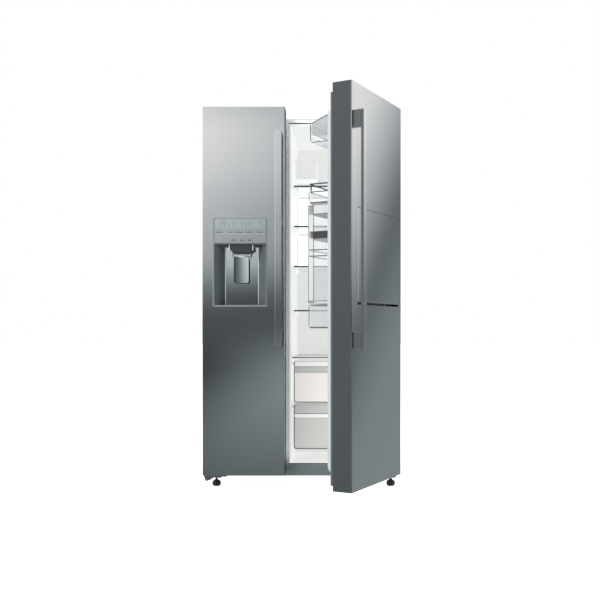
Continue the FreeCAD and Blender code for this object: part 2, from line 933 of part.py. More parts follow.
def rear_rollers():
    rollers = Bundle("rear_rollers")
    ends = "roller_x + roller_wide / 2 + ear_gap + ear_thick"
    rollers.rod("x", ("roller_y", "roller_reach"), "axle_reach", (f"-({ends})", ends))
    for side in ("-", "+"):
        middle = f"{side} roller_x"
        rollers.rod(
            "x",
            ("roller_y", "roller_reach"),
            "roller_reach",
            (f"{middle} - roller_wide / 2", f"{middle} + roller_wide / 2"),
        )


def compressor():
    pot = Piece("compressor")
    centre = ("compressor_x", "compressor_y")
    pot.rod("z", centre, "compressor_reach", ("compressor_low", "compressor_low + compressor_tall"))
    doc.recompute()
    tip = pot.body.Tip
    names = []
    for number, edge in enumerate(tip.Shape.Edges, start=1):
        if isinstance(edge.Curve, Part.Circle):
            names.append(f"Edge{number}")
    crown = pot.feature("Fillet")
    crown.Base = (tip, names)
    crown.setExpression("Radius", bound("compressor_round"))
    pot.add(
        ("compressor_x - compressor_reach", "compressor_x + compressor_reach"),
        ("compressor_y - compressor_reach", "compressor_y + compressor_reach"),
        ("floor_low + foot_plate", "compressor_low + foot_plate"),
    )
    for x in ("compressor_x - compressor_reach", "compressor_x + compressor_reach - 2 * foot_plate"):
        for y in ("compressor_y - compressor_reach", "compressor_y + compressor_reach - 2 * foot_plate"):
            pot.add(
                (x, f"{x} + 2 * foot_plate"),
                (y, f"{y} + 2 * foot_plate"),
                ("floor_low", "floor_low + foot_plate + cut_past"),
            )


def drain_pan():
    pan = Piece("drain_pan")
    pan.add(("pan_left", "pan_right"), ("pan_front", "pan_back"), ("floor_low", "pan_high"))
    pan.cut(
        ("pan_left + crisper_wall", "pan_right - crisper_wall"),
        ("pan_front + crisper_wall", "pan_back - crisper_wall"),
        ("floor_low + crisper_wall", "pan_high + cut_past"),
    )


def condenser():
    """Finned coil over the drain pan, with the fan's frame and motor bridge beside it."""
    coil = finned_coil(
        "condenser",
        ("pan_left + fan_hub", "pan_right - fan_hub"),
        ("pan_front + fan_hub", "pan_back - fan_hub"),
        ("condenser_low", "condenser_high"),
        int(sheet.get("condenser_fins")),
    )
    frame = ("shroud_x - shroud_thick", "shroud_x")
    height = ("floor_low", "warm_fan_z + fan_hole + fan_hub")
    for side in ("-", "+"):
        edge = f"compressor_y {side} fan_hole {side} fan_hub / 2"
        coil.add(frame, (f"{edge} - fan_hub / 2", f"{edge} + fan_hub / 2"), height)
    width = ("compressor_y - fan_hole", "compressor_y + fan_hole")
    coil.add(frame, width, ("warm_fan_z + fan_hole", height[1]))
    coil.add(frame, width, ("floor_low", "warm_fan_z - fan_hole"))
    coil.add(frame, width, ("warm_fan_z + wire + fin_thick", "warm_fan_z + fan_hub"))
    coil.add(frame, width, ("warm_fan_z - fan_hub", "warm_fan_z - wire - fin_thick"))


def condenser_fan():
    fan(
        "condenser_fan",
        "x",
        ("compressor_y", "warm_fan_z"),
        ("shroud_x + fin_thick + ear_gap", "shroud_x + fin_thick + fan_hub"),
        ("shroud_x - shroud_thick", "shroud_x + fin_thick + fan_hub"),
    )


def machine_room_cover():
    cover = Piece("machine_room_cover")
    cover.add(
        INSIDE_X, ("case_back - sheet", "case_back"), ("case_low + foot_plate", "cover_high - flange_gap")
    )
    for side in ("-", "+"):
        middle = f"{side} case_half / 2"
        for step in range(int(sheet.get("slot_count"))):
            low = f"case_low + 5 * foot_plate + {step} * slot_pitch"
            cover.cut(
                (f"{middle} - slot_long / 2", f"{middle} + slot_long / 2"),
                ("case_back - 2 * sheet", "case_back + cut_past"),
                (low, f"{low} + slot_tall"),
            )


# ---------------------------------------------------------------- hinges


def mirrored_span(low, high, side):
    """The span low to high on the right side, or its mirror image on the left side."""
    return (low, high) if side > 0 else (f"-({high})", f"-({low})")


def top_hinges():
    """Cranked arms from the cabinet's top over the doors, each with a pin down into its door."""
    hinges = Piece("top_hinges")
    under = "door_high + hinge_gap"
    over = "door_high + hinge_gap + hinge_thick"
    for side in (-1, 1):
        width = mirrored_span("hinge_inner", "hinge_outer", side)
        hinges.add(width, ("riser_front", "hinge_back"), ("case_high", "case_high + hinge_thick"))
        hinges.add(width, ("riser_front", "riser_front + 2 * hinge_thick"), ("case_high", over))
        hinges.add(width, ("pivot_y - 3 * pin_reach", "riser_front + cut_past"), (under, over))
        pivot = ("pivot_x" if side > 0 else "-pivot_x", "pivot_y")
        hinges.rod("z", pivot, "pin_reach", ("door_high - pin_long", over))


def hinge_covers():
    """Plastic caps over the screwed ends of the top hinges."""
    covers = Piece("hinge_covers")
    for side in (-1, 1):
        depth = ("hinge_cover_front", "hinge_cover_back")
        width = mirrored_span("hinge_inner - cover_side", "hinge_outer + sheet", side)
        covers.add(width, depth, ("case_high + flange_gap", "hinge_cover_high"))
        hollow = mirrored_span("hinge_inner - cover_side + crisper_wall", "hinge_outer + cut_past", side)
        covers.cut(
            hollow,
            ("hinge_cover_front - cut_past", "hinge_cover_back - crisper_wall"),
            ("case_high", "hinge_cover_high - crisper_wall"),
        )


def bottom_hinges():
    """Brackets under the doors: a shelf with a skirt and a pin up. The left skirt has a tab."""
    hinges = Piece("bottom_hinges")
    shelf = ("door_low - bracket_gap - bracket_thick", "door_low - bracket_gap")
    skirt = ("pivot_y - 3 * pin_reach", "pivot_y - 3 * pin_reach + bracket_skirt")
    for side in (-1, 1):
        width = mirrored_span("bracket_inner", "hinge_outer", side)
        hinges.add(width, ("pivot_y - 3 * pin_reach", "case_front - flange_gap"), shelf)
        hinges.add(
            width, ("case_front - flange_gap - bracket_thick", "case_front - flange_gap"),
            ("case_low - bracket_thick", "seal_low - flange_thick"),
        )
        hinges.add(width, skirt, ("bracket_edge", shelf[0]))
        pivot = ("pivot_x" if side > 0 else "-pivot_x", "pivot_y")
        hinges.rod("z", pivot, "pin_reach", (shelf[0], "door_low + pin_long"))
    hinges.add(mirrored_span("bracket_tab", "hinge_outer", -1), skirt, ("bracket_low", "bracket_edge"))
    for inner, low in (("bracket_inner", "bracket_edge"), ("bracket_tab", "bracket_low")):
        reach = value(inner)
        height = value(low)
        hinges.soften(
            "y",
            "bracket_round",
            lambda middle: abs(abs(middle.x) - reach) < sheet.get("cut_past")
            and abs(middle.z - height) < sheet.get("cut_past"),
        )


# ---------------------------------------------------------------- doors


def door_skin(name, left, right, window):
    """Folded steel sheet: the front and both sides of a door, with a window in the front."""
    skin = Piece(name)
    height = ("door_low", "door_high")
    skin.add((left, right), ("0", "door_slab"), height)
    skin.soften("z", "door_round", lambda middle: middle.y < value("cut_past"))
    skin.cut(
        (f"{left} + door_skin", f"{right} - door_skin"),
        ("door_skin", "door_slab + cut_past"),
        ("door_low - cut_past", "door_high + cut_past"),
    )
    skin.cut(window[0], ("-cut_past", "2 * door_skin"), window[1])


def door_caps(name, left, right, side):
    """Plastic ends that close the top and bottom of a door, with the hinge pins' holes."""
    caps = Piece(name)
    width = (f"{left} + door_skin + slack", f"{right} - door_skin - slack")
    depth = ("door_skin + slack", "door_slab")
    caps.add(width, depth, ("door_low", "door_low + cap_tall"))
    caps.add(width, depth, ("door_high - cap_tall", "door_high"))
    pivot = ("pivot_x" if side > 0 else "-pivot_x", "pivot_y")
    caps.bore("z", pivot, "pin_reach + fit_gap", ("door_low - cut_past", "door_high + cut_past"))


def door_foam(name, left, right):
    foam = Piece(name)
    foam.add(
        (f"{left} + door_skin + slack", f"{right} - door_skin - slack"),
        ("door_skin + slack", "door_slab - liner_sheet"),
        ("door_low + cap_tall", "door_high - cap_tall"),
    )
    return foam


def door_liner(name, left, right, dyke):
    """Inner face of a door: a flat pan with a raised, rounded rim that the bins hang in."""
    inner = Piece(name)
    low, high, back = dyke
    inner.add((low, high), ("door_slab - liner_sheet", back), ("dyke_low", "dyke_high"))
    inner.soften("y", "dyke_round")
    inner.cut(
        (f"{low} + dyke_wall", f"{high} - dyke_wall"),
        ("door_slab", f"{back} + cut_past"),
        ("dyke_low + dyke_wall", "dyke_high - dyke_wall"),
    )
    inner.add(
        (f"{left} + door_skin + slack", f"{right} - door_skin - slack"),
        ("door_slab - liner_sheet", "door_slab"),
        ("door_low + cap_tall", "door_high - cap_tall"),
    )
    return inner


def gasket(name, left, right):
    """Magnetic seal round the door's inner face."""
    seal = Piece(name)
    depth = ("door_slab + slack", "seal_back")
    seal.add((left, right), depth, ("seal_low", "seal_high"))
    seal.soften("y", "seal_round")
    seal.cut(
        (f"{left} + seal_wide", f"{right} - seal_wide"),
        ("door_slab", "seal_back + cut_past"),
        ("seal_low + seal_wide", "seal_high - seal_wide"),
    )


def handle(name, near, far):
    """Flat upright bar on two solid end blocks."""
    grip = Piece(name)
    width = (near, far)
    grip.add(width, ("bar_front", "bar_back"), ("bar_low", "bar_high"))
    stand = ("bar_front", "-slack")
    grip.add(width, stand, ("bar_low", "bar_low + bar_block"))
    grip.add(width, stand, ("bar_high - bar_block", "bar_high"))
    grip.soften("z", "bar_round", lambda middle: middle.y < value("bar_front + cut_past"))


def open_bin(piece, x, y, z):
    """Adds one open-topped bin with thin walls to a piece."""
    piece.add(x, y, z)
    piece.cut(
        (f"{x[0]} + bin_wall", f"{x[1]} - bin_wall"),
        (f"{y[0]} + bin_wall", f"{y[1]} - bin_wall"),
        (f"{z[0]} + bin_wall", f"{z[1]} + cut_past"),
    )


def freezer_door():
    left, right = "-case_half", "freezer_free"
    window = (
        ("bezel_left + bezel_lap", "bezel_right - bezel_lap"),
        ("bezel_low + bezel_lap", "bezel_high - bezel_lap"),
    )
    door_skin("freezer_door_skin", left, right, window)
    door_caps("freezer_door_caps", left, right, -1)
    foam = door_foam("freezer_door_foam", left, right)
    foam.cut(window[0], ("0", "housing_back"), window[1])
    dyke = ("freezer_dyke_left", "freezer_dyke_right", "freezer_dyke_back")
    door_liner("freezer_door_liner", left, right, dyke)
    gasket("freezer_gasket", "-seal_hinge_side", "freezer_free - seal_free_side")
    handle("freezer_handle", "freezer_free - bar_far", "freezer_free - bar_near")
    bins = Piece("freezer_door_bins")
    for base in (
        "freezer_bin_base_one",
        "freezer_bin_base_two",
        "freezer_bin_base_three",
        "freezer_bin_base_four",
    ):
        open_bin(
            bins,
            ("freezer_bin_left", "freezer_bin_right"),
            ("bin_front", "freezer_bin_back"),
            (base, f"{base} + freezer_bin_tall"),
        )
    dispenser_housing(window)
    control_panel()
    nozzle_housing()
    paddle()


def dispenser_housing(window):
    """Tub in the freezer door with a proud bezel, the glass recess and the panel's pocket."""
    tub = Piece("dispenser_housing")
    inset = tuple((f"{low} + slack", f"{high} - slack") for low, high in window)
    tub.add(inset[0], ("-bezel_proud", "housing_back - slack"), inset[1])
    tub.add(("bezel_left", "bezel_right"), ("-bezel_proud", "-slack"), ("bezel_low", "bezel_high"))
    mouth = ("recess_left", "recess_right")
    tub.tapered(mouth, ("-2 * bezel_proud", "recess_back"), ("recess_low", "recess_high"), "recess_taper")
    tub.cut(mouth, ("-2 * bezel_proud", "panel_back"), ("panel_low", "panel_high"))


def control_panel():
    panel = Piece("control_panel")
    panel.add(
        ("recess_left + slack", "recess_right - slack"),
        ("-panel_proud", "panel_thick"),
        ("panel_low + slack", "panel_high - slack"),
    )


def nozzle_housing():
    """Ice and water outlet above the recess, with two ears that hold the paddle's rod."""
    spout = Piece("nozzle_housing")
    spout.add(
        ("nozzle_left", "nozzle_right"),
        ("nozzle_front", "nozzle_back"),
        ("nozzle_low", "recess_high - slack"),
    )
    doc.recompute()
    tip = spout.body.Tip
    names = []
    for number, edge in enumerate(tip.Shape.Edges, start=1):
        along_y = abs(edge.Curve.Direction.y) > PARALLEL
        if along_y and edge.CenterOfMass.z < value("nozzle_low + cut_past"):
            names.append(f"Edge{number}")
    chamfer = spout.feature("Chamfer")
    chamfer.Base = (tip, names)
    chamfer.setExpression("Size", bound("nozzle_chamfer"))
    spout.cut(
        ("chute_left", "chute_right"),
        ("chute_front", "chute_back"),
        ("nozzle_low - cut_past", "recess_high"),
    )
    for near in ("paddle_left - ear_deep", "paddle_right + cut_past"):
        spout.add(
            (near, f"{near} + ear_deep - cut_past"),
            ("paddle_pivot_y - ear_deep", "paddle_pivot_y + ear_deep"),
            ("paddle_pivot_z - ear_deep", "nozzle_low + nozzle_chamfer"),
        )
    spout.bore(
        "x", ("paddle_pivot_y", "paddle_pivot_z"), "paddle_rod + fit_gap", ("nozzle_left", "nozzle_right")
    )


def paddle():
    """Lever that a glass pushes back: a plate hollowed in front, hung from a rod."""
    lever = Piece("dispenser_paddle")
    lever.add(
        ("paddle_left", "paddle_right"), ("paddle_front", "paddle_back"), ("paddle_low", "paddle_high")
    )
    lever.bore(
        "z",
        ("(paddle_left + paddle_right) / 2", "paddle_front - paddle_hollow + paddle_sink"),
        "paddle_hollow",
        ("paddle_low - cut_past", "paddle_high + cut_past"),
    )
    lever.rod(
        "x",
        ("paddle_pivot_y", "paddle_pivot_z"),
        "paddle_rod",
        ("paddle_left - ear_deep", "paddle_right + ear_deep"),
    )
    lever.add(
        ("paddle_left + ear_deep", "paddle_right - ear_deep"),
        ("paddle_pivot_y - paddle_web", "paddle_back"),
        ("paddle_high - cut_past", "paddle_pivot_z"),
    )


def fridge_door():
    left, right = "fridge_free", "case_half"
    window = (
        ("bar_door_left - bar_gap", "bar_door_right + bar_gap"),
        ("bar_door_low - bar_gap_low", "bar_door_high + bar_gap"),
    )
    door_skin("fridge_door_skin", left, right, window)
    door_caps("fridge_door_caps", left, right, 1)
    foam = door_foam("fridge_door_foam", left, right)
    around = tuple((f"{low} - bar_gap", f"{high} + bar_gap") for low, high in window)
    foam.cut(around[0], ("0", "bar_seat + seat_thick"), around[1])
    foam.cut(
        ("hole_left - liner_sheet", "hole_right + liner_sheet"),
        ("0", "door_slab"),
        ("hole_low - liner_sheet", "hole_high + liner_sheet"),
    )
    dyke = ("fridge_dyke_left", "fridge_dyke_right", "fridge_dyke_back")
    fridge_door_liner(door_liner("fridge_door_liner", left, right, dyke), window, around)
    gasket("fridge_gasket", "fridge_free + seal_free_side", "seal_hinge_side")
    handle("fridge_handle", "fridge_free + bar_near", "fridge_free + bar_far")
    door_bins()
    dairy_box()
    dairy_lid()
    home_bar_housing()
    home_bar_door()


def fridge_door_liner(inner, window, around):
    """Adds the home bar's seat and the tunnel through the door to the inner face."""
    seat = ("bar_seat", "bar_seat + seat_thick")
    inner.add(around[0], ("door_skin + slack", "bar_seat + seat_thick"), around[1])
    inner.cut(window[0], ("0", "bar_seat"), window[1])
    inner.add(
        ("hole_left - liner_sheet", "hole_right + liner_sheet"),
        (seat[0], "door_slab"),
        ("hole_low - liner_sheet", "hole_high + liner_sheet"),
    )
    inner.cut(
        ("hole_left", "hole_right"),
        ("bar_seat - cut_past", "door_slab + cut_past"),
        ("hole_low", "hole_high"),
    )
    inner.bore(
        "x", ("bar_pivot_y", "bar_pivot_z"), "bar_pin + fit_gap", (around[0][0], around[0][1])
    )


def door_bins():
    """Bottle bin under the dairy box with its guard rail, and the bin under the home bar."""
    bins = Piece("door_bins")
    width = ("bin_left", "bin_right")
    depth = ("bin_front", "bin_back")
    open_bin(bins, width, depth, ("bottle_base", "bottle_top"))
    rail = ("bottle_rail_low", "bottle_rail_high")
    for x in (("bin_left", "bin_left + bin_wall"), ("bin_right - bin_wall", "bin_right")):
        bins.add(x, depth, rail)
        bins.add(x, ("bin_back - 4 * bin_wall", "bin_back"), ("bottle_top - cut_past", "bottle_rail_high"))
    bins.add(width, ("bin_back - bin_wall", "bin_back"), rail)
    open_bin(bins, width, depth, ("low_bin_base", "low_bin_top"))


def dairy_box():
    """Dairy box: a shallow tray between two side walls with sloping tops, and a fixed deck."""
    box = Piece("dairy_box")
    depth = ("bin_front", "dairy_back")
    crown = "lid_pivot_z + lid_ear"
    for near in ("bin_left", "bin_right - bin_wall"):
        box.add((near, f"{near} + bin_wall"), depth, ("dairy_low", crown))
    box.slanted(
        "SubtractiveBox",
        ("bin_left - cut_past", "bin_right + cut_past"),
        ("lid_pivot_y", crown),
        "2 * lid_long",
        "lid_long",
    )
    open_bin(box, ("bin_left", "bin_right"), depth, ("dairy_low", "dairy_step"))
    deck = ("bin_front", "lid_pivot_y - 2 * lid_rod")
    box.add(
        ("bin_left", "bin_right"), deck, ("lid_pivot_z - lid_rod", "lid_pivot_z + lid_rod")
    )
    box.bore(
        "x",
        ("lid_pivot_y", "lid_pivot_z"),
        "lid_rod + fit_gap",
        ("bin_left - cut_past", "bin_right + cut_past"),
    )


def dairy_lid():
    """Smoky flap over the dairy box: sloping roof and front in one, hung from a rod."""
    lid = Piece("dairy_lid")
    width = ("bin_left + bin_wall + cut_past", "bin_right - bin_wall - cut_past")
    lid.rod("x", ("lid_pivot_y", "lid_pivot_z"), "lid_rod", ("bin_left", "bin_right"))
    lid.slanted("AdditiveBox", width, ("lid_pivot_y", "lid_pivot_z"), "lid_long", "lid_thick")
    lid.add(
        width,
        ("lid_flap_back - lid_thick", "lid_flap_back"),
        ("lid_flap_low", "lid_flap_high"),
    )


def home_bar_housing():
    """Clear housing behind the home bar's hole, with a tray across it."""
    house = Piece("home_bar_housing")
    width = ("bin_left", "bin_right")
    house.add(width, ("bin_front", "bin_back"), ("house_low", "house_high"))
    house.soften("x", "crisper_round", lambda middle: middle.y > value("bin_back") - 1)
    house.cut(
        ("bin_left + bin_wall", "bin_right - bin_wall"),
        ("bin_front - cut_past", "bin_back - bin_wall"),
        ("house_low + bin_wall", "house_high - bin_wall"),
    )
    tray_y = ("bin_front + dyke_wall", "bin_back - cut_past")
    house.add(("bin_left + cut_past", "bin_right - cut_past"), tray_y, ("house_shelf", "house_tray_high"))
    house.cut(
        ("bin_left + 2 * bin_wall", "bin_right - 2 * bin_wall"),
        (f"{tray_y[0]} + bin_wall", f"{tray_y[1]} - 2 * bin_wall"),
        ("house_shelf + bin_wall", "house_tray_high + cut_past"),
    )


def home_bar_door():
    """Small door in the door: steel front, insulated back with a tray, seal and hinge pins."""
    width = ("bar_door_left", "bar_door_right")
    height = ("bar_door_low", "bar_door_high")
    front = Piece("home_bar_front")
    front.add(width, ("0", "bar_fold"), height)
    front.cut(
        ("bar_door_left + door_skin", "bar_door_right - door_skin"),
        ("door_skin", "bar_fold + cut_past"),
        ("bar_door_low + door_skin", "bar_door_high - door_skin"),
    )
    front.bore(
        "x",
        ("bar_pivot_y", "bar_pivot_z"),
        "bar_pin + fit_gap",
        ("bar_door_left - cut_past", "bar_door_right + cut_past"),
    )
    back = Piece("home_bar_back")
    back.add(
        ("bar_door_left + door_skin + slack", "bar_door_right - door_skin - slack"),
        ("door_skin + slack", "bar_plug_back"),
        ("bar_door_low + door_skin + slack", "bar_door_high - door_skin - slack"),
    )
    back.cut(
        ("hole_left + seal_wide", "hole_right - seal_wide"),
        ("bar_tray_front", "bar_plug_back + cut_past"),
        ("hole_low + seal_wide", "hole_high - seal_wide"),
    )
    back.rod(
        "x",
        ("bar_pivot_y", "bar_pivot_z"),
        "bar_pin",
        ("bar_door_left - bar_gap - bar_gap", "bar_door_right + bar_gap + bar_gap"),
    )
    seal = Piece("home_bar_gasket")
    depth = ("bar_plug_back", "bar_seat - slack")
    seal.add(
        ("hole_left - bar_seal", "hole_right + bar_seal"),
        depth,
        ("hole_low - bar_seal", "hole_high + bar_seal"),
    )
    seal.cut(
        ("hole_left + seal_inset", "hole_right - seal_inset"),
        ("bar_plug_back - cut_past", "bar_seat + cut_past"),
        ("hole_low + seal_inset", "hole_high - seal_inset"),
    )


# ---------------------------------------------------------------- build, check and export

FRIDGE_DOOR_NODES = (
    "fridge_door_skin",
    "fridge_door_caps",
    "fridge_door_foam",
    "fridge_door_liner",
    "fridge_gasket",
    "fridge_handle",
    "door_bins",
    "dairy_box",
    "dairy_lid",
    "home_bar_housing",
    "home_bar_front",
    "home_bar_back",
    "home_bar_gasket",
)


def build():
    for make in (
        side_panels,
        top_panel,
        back_panel,
        front_frame,
        fridge_liner,
        freezer_liner,
        foam_insulation,
        shelves,
        air_duct_cover,
        light_panel,
        crisper_cover,
        crisper_runners,
        freezer_shelves,
        freezer_baskets,
        ice_maker,
        ice_bucket,
        ice_auger,
        evaporator,
        evaporator_cover,
        evaporator_fan,
        base_pan,
        feet,
        rear_rollers,
        compressor,
        drain_pan,
        condenser,
        condenser_fan,
        machine_room_cover,
        top_hinges,
        hinge_covers,
        bottom_hinges,
        freezer_door,
        fridge_door,
    ):
        make()
    crisper("upper_crisper", "upper_low", "upper_high", ("upper_grip_low", "upper_grip_high"))
    crisper("lower_crisper", "lower_low", "lower_high", ("lower_grip_low", "lower_grip_high"))
    for piece in PIECES:
        piece.place("fridge_door" if piece.body.Label in FRIDGE_DOOR_NODES else "cabinet")
    doc.recompute()


def check():
    """Stops before anything is written if a feature failed or a sub-part is not valid."""
    failed = [item.Name for item in doc.Objects if {"Invalid", "Error"} & set(item.State)]
    if failed:
        raise RuntimeError(f"features that failed: {failed}")
    for piece in PIECES:
        shape = piece.body.Shape
        if shape.isNull() or not shape.isValid():
            raise RuntimeError(f"{piece.body.Label} is not a valid shape")


def export():
    os.makedirs("parts", exist_ok=True)
    for piece in PIECES:
        piece.body.Shape.exportStep(f"parts/{piece.body.Label}.step")


build()
check()
export()
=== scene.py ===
import json
import math

import bmesh
import bpy
import numpy as np
from mathutils import Matrix, Vector

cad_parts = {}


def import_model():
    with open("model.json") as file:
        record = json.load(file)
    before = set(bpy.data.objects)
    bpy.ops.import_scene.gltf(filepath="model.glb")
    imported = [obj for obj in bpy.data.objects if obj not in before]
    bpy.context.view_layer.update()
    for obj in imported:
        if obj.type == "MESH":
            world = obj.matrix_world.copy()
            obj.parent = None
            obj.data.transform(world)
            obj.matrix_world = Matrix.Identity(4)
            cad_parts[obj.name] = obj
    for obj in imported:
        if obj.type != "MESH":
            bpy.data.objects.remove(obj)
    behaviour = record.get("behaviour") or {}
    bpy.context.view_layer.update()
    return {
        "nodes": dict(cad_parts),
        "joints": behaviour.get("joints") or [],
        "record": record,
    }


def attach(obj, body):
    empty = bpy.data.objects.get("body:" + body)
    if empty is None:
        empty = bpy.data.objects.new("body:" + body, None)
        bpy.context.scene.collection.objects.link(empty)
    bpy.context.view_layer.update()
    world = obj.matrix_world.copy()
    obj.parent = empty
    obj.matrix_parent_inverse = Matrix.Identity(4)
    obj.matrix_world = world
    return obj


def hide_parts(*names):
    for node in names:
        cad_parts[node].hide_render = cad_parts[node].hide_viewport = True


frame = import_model()
NODES = frame["nodes"]
BODIES = frame["record"]["behaviour"]["bodies"]


# ------------------------------------------------------------------ the frame's own places


def joint(name):
    return next(j for j in frame["joints"] if j["name"] == name)


def door_turn():
    """Matrix that swings the closed fridge door to where it rests."""
    hinge = joint("fridge_door_hinge")
    pin = Matrix.Translation(Vector(hinge["pos_m"]))
    angle = -math.radians(hinge["range_deg"][0])
    return pin @ Matrix.Rotation(angle, 4, "Z") @ pin.inverted()


DOOR = door_turn()
STILL = Matrix.Identity(4)


def turn_of(body):
    """What rides on the fridge door is built with the door closed, then turned to where it rests."""
    return DOOR if body in ("fridge_door", "home_bar_door", "dairy_lid") else STILL


def corners(node):
    """Corners of a node, with the fridge door closed."""
    body = next(name for name, nodes in BODIES.items() if node in nodes)
    back = turn_of(body).inverted()
    return [back @ vert.co for vert in NODES[node].data.vertices]


def spans(node, test=lambda place: True):
    """The x, y and z spans of a node, or of the part of it that passes a test."""
    points = np.array([place for place in corners(node) if test(place)])
    return tuple(zip(points.min(axis=0).tolist(), points.max(axis=0).tolist()))


def levels(node, axis):
    """Every place along an axis where a node has corners, in order."""
    return sorted({round(place["xyz".index(axis)], 4) for place in corners(node)})


def grown(span, by):
    return (span[0] - by, span[1] + by)


def ends(span, size):
    """The two stretches of one size at the ends of a span."""
    return (span[0], span[0] + size), (span[1] - size, span[1])


def row(span, count):
    """Evenly spaced places along a span, its ends among them."""
    return [span[0] + i * (span[1] - span[0]) / (count - 1) for i in range(count)]


# ------------------------------------------------------------------ node materials


class Paint:
    """Builds one node material step by step."""

    def __init__(self, name, **sockets):
        self.material = bpy.data.materials.new(name)
        self.material.use_nodes = True
        self.tree = self.material.node_tree
        self.shader = self.tree.nodes["Principled BSDF"]
        self.place = self.node("ShaderNodeTexCoord").outputs["Object"]
        for socket, value in sockets.items():
            self.shader.inputs[socket.replace("_", " ")].default_value = value

    def node(self, kind, **values):
        made = self.tree.nodes.new(kind)
        for key, value in values.items():
            if key in made.inputs:
                made.inputs[key].default_value = value
            else:
                setattr(made, key, value)
        return made

    def link(self, out, into):
        self.tree.links.new(out, into)

    def noise(self, scale, stretch=(1, 1, 1), detail=3.0):
        """Noise over the surface; stretch scales each axis of it."""
        mapping = self.node("ShaderNodeMapping", Scale=stretch)
        self.link(self.place, mapping.inputs["Vector"])
        noise = self.node("ShaderNodeTexNoise", Scale=scale, Detail=detail)
        self.link(mapping.outputs[0], noise.inputs["Vector"])
        return noise.outputs["Fac"]

    def spread(self, source, low, high, into):
        """Maps 0..1 onto low..high for one socket of the shader."""
        ranged = self.node("ShaderNodeMapRange", **{"To Min": low, "To Max": high})
        self.link(source, ranged.inputs["Value"])
        self.link(ranged.outputs["Result"], self.shader.inputs[into])

    def tint(self, source, dark, light, low=0.3, high=0.7):
        """Colour between two tones; a paint that glows takes the light one as its glow."""
        ramp = self.node("ShaderNodeValToRGB")
        for stop, place, tone in zip(ramp.color_ramp.elements, (low, high), (dark, light)):
            stop.position = place
            stop.color = (*tone, 1)
        self.link(source, ramp.inputs["Fac"])
        self.link(ramp.outputs["Color"], self.shader.inputs["Base Color"])
        if self.shader.inputs["Emission Strength"].default_value:
            self.shader.inputs["Emission Color"].default_value = (*light, 1)

    def bump(self, source, strength, distance):
        bump = self.node("ShaderNodeBump", Strength=strength, Distance=distance)
        self.link(source, bump.inputs["Height"])
        self.link(bump.outputs["Normal"], self.shader.inputs["Normal"])


BRUSH_GRAIN = (900, 900, 4)  # noise squeezed across and stretched upright into brush lines


def brushed(name, dark, light, roughness, depth=0.03):
    """Metal with fine upright brush lines, slight cloudiness and uneven polish."""
    paint = Paint(name, Metallic=1.0, Roughness=roughness)
    lines = paint.noise(1.0, BRUSH_GRAIN, detail=2.0)
    cloud = paint.noise(2.2, detail=4.0)
    paint.tint(lines, dark, light, 0.25, 0.75)
    blend = paint.node("ShaderNodeMath", operation="ADD")
    paint.link(lines, blend.inputs[0])
    paint.link(cloud, blend.inputs[1])
    paint.spread(blend.outputs[0], roughness * 0.55, roughness, "Roughness")
    paint.bump(lines, depth, 0.0002)
    return paint.material


def moulded(name, dark, light, roughness, grain=260, depth=0.05, **sockets):
    """Plastic or paint with a fine moulded texture and faint colour change."""
    paint = Paint(name, Roughness=roughness, **sockets)
    paint.tint(paint.noise(3.0), dark, light)
    fine = paint.noise(grain, detail=2.0)
    paint.spread(fine, roughness * 0.85, roughness * 1.2, "Roughness")
    paint.bump(fine, depth, 0.0003)
    return paint.material


def shaded(name, heights, low, high, roughness, **sockets):
    """Paint that changes tone with height, with a fine grain; the change of tone is painted light and
    shade, not a change in the paint's own colour.
    """
    paint = Paint(name, Roughness=roughness, **sockets)
    split = paint.node("ShaderNodeSeparateXYZ")
    paint.link(paint.place, split.inputs[0])
    ranged = paint.node("ShaderNodeMapRange", **{"From Min": heights[0], "From Max": heights[1]})
    paint.link(split.outputs["Z"], ranged.inputs["Value"])
    paint.tint(ranged.outputs["Result"], low, high, 0.0, 1.0)
    paint.bump(paint.noise(420), 0.05, 0.0003)
    return paint.material


def clear(name, tone, roughness, alpha_low, alpha_high, **sockets):
    """Thin clear plastic or glass: more solid at its edges, as real sheets look."""
    paint = Paint(name, Roughness=roughness, IOR=1.49, **sockets)
    paint.tint(paint.noise(5.0), tuple(c * 0.94 for c in tone), tone)
    facing = paint.node("ShaderNodeLayerWeight", Blend=0.35).outputs["Facing"]
    paint.spread(facing, alpha_low, alpha_high, "Alpha")
    paint.bump(paint.noise(9.0), 0.05, 0.001)
    return paint.material


def glow(name, colour, strength):
    paint = Paint(name, Roughness=0.5, Emission_Strength=strength)
    paint.tint(paint.noise(6.0), tuple(c * 0.96 for c in colour), colour)
    return paint.material


STAINLESS = brushed("stainless_front", (0.635, 0.675, 0.690), (0.655, 0.695, 0.710), 0.075, depth=0.0004)
HANDLE_METAL = brushed("handle_metal", (0.69, 0.725, 0.735), (0.75, 0.79, 0.80), 0.085, depth=0.0006)
SLATE = moulded("slate_edge", (0.024, 0.0325, 0.036), (0.028, 0.0365, 0.040), 0.50)
CABINET_PAINT = moulded("cabinet_paint", (0.213, 0.223, 0.233), (0.226, 0.236, 0.246), 0.38, 420, 0.12)
ZINC = moulded("zinc_sheet", (0.50, 0.51, 0.52), (0.56, 0.57, 0.58), 0.42, 60, 0.05, Metallic=0.8)
# Painted shade and light: the front frame is painted dark below 0.10 m, where it sits in shade under the
# doors, light above 0.16 m, and glows faintly for the light that spills onto the mullion from the open
# compartment.
FRAME_STEEL = shaded(
    "frame_steel", (0.10, 0.16), (0.085, 0.112, 0.118), (0.80, 0.84, 0.86), 0.40, Emission_Strength=0.022
)
HANDLE_SIDE = moulded("handle_side", (0.040, 0.046, 0.049), (0.048, 0.054, 0.057), 0.4)
BRACKET = moulded("bracket_paint", (0.055, 0.065, 0.070), (0.085, 0.097, 0.103), 0.35)
LEVER_ARM = moulded("lever_arm", (0.42, 0.45, 0.46), (0.48, 0.51, 0.52), 0.35)
HINGE_STEEL = moulded("hinge_steel", (0.05, 0.055, 0.06), (0.08, 0.085, 0.09), 0.4, Metallic=0.5)
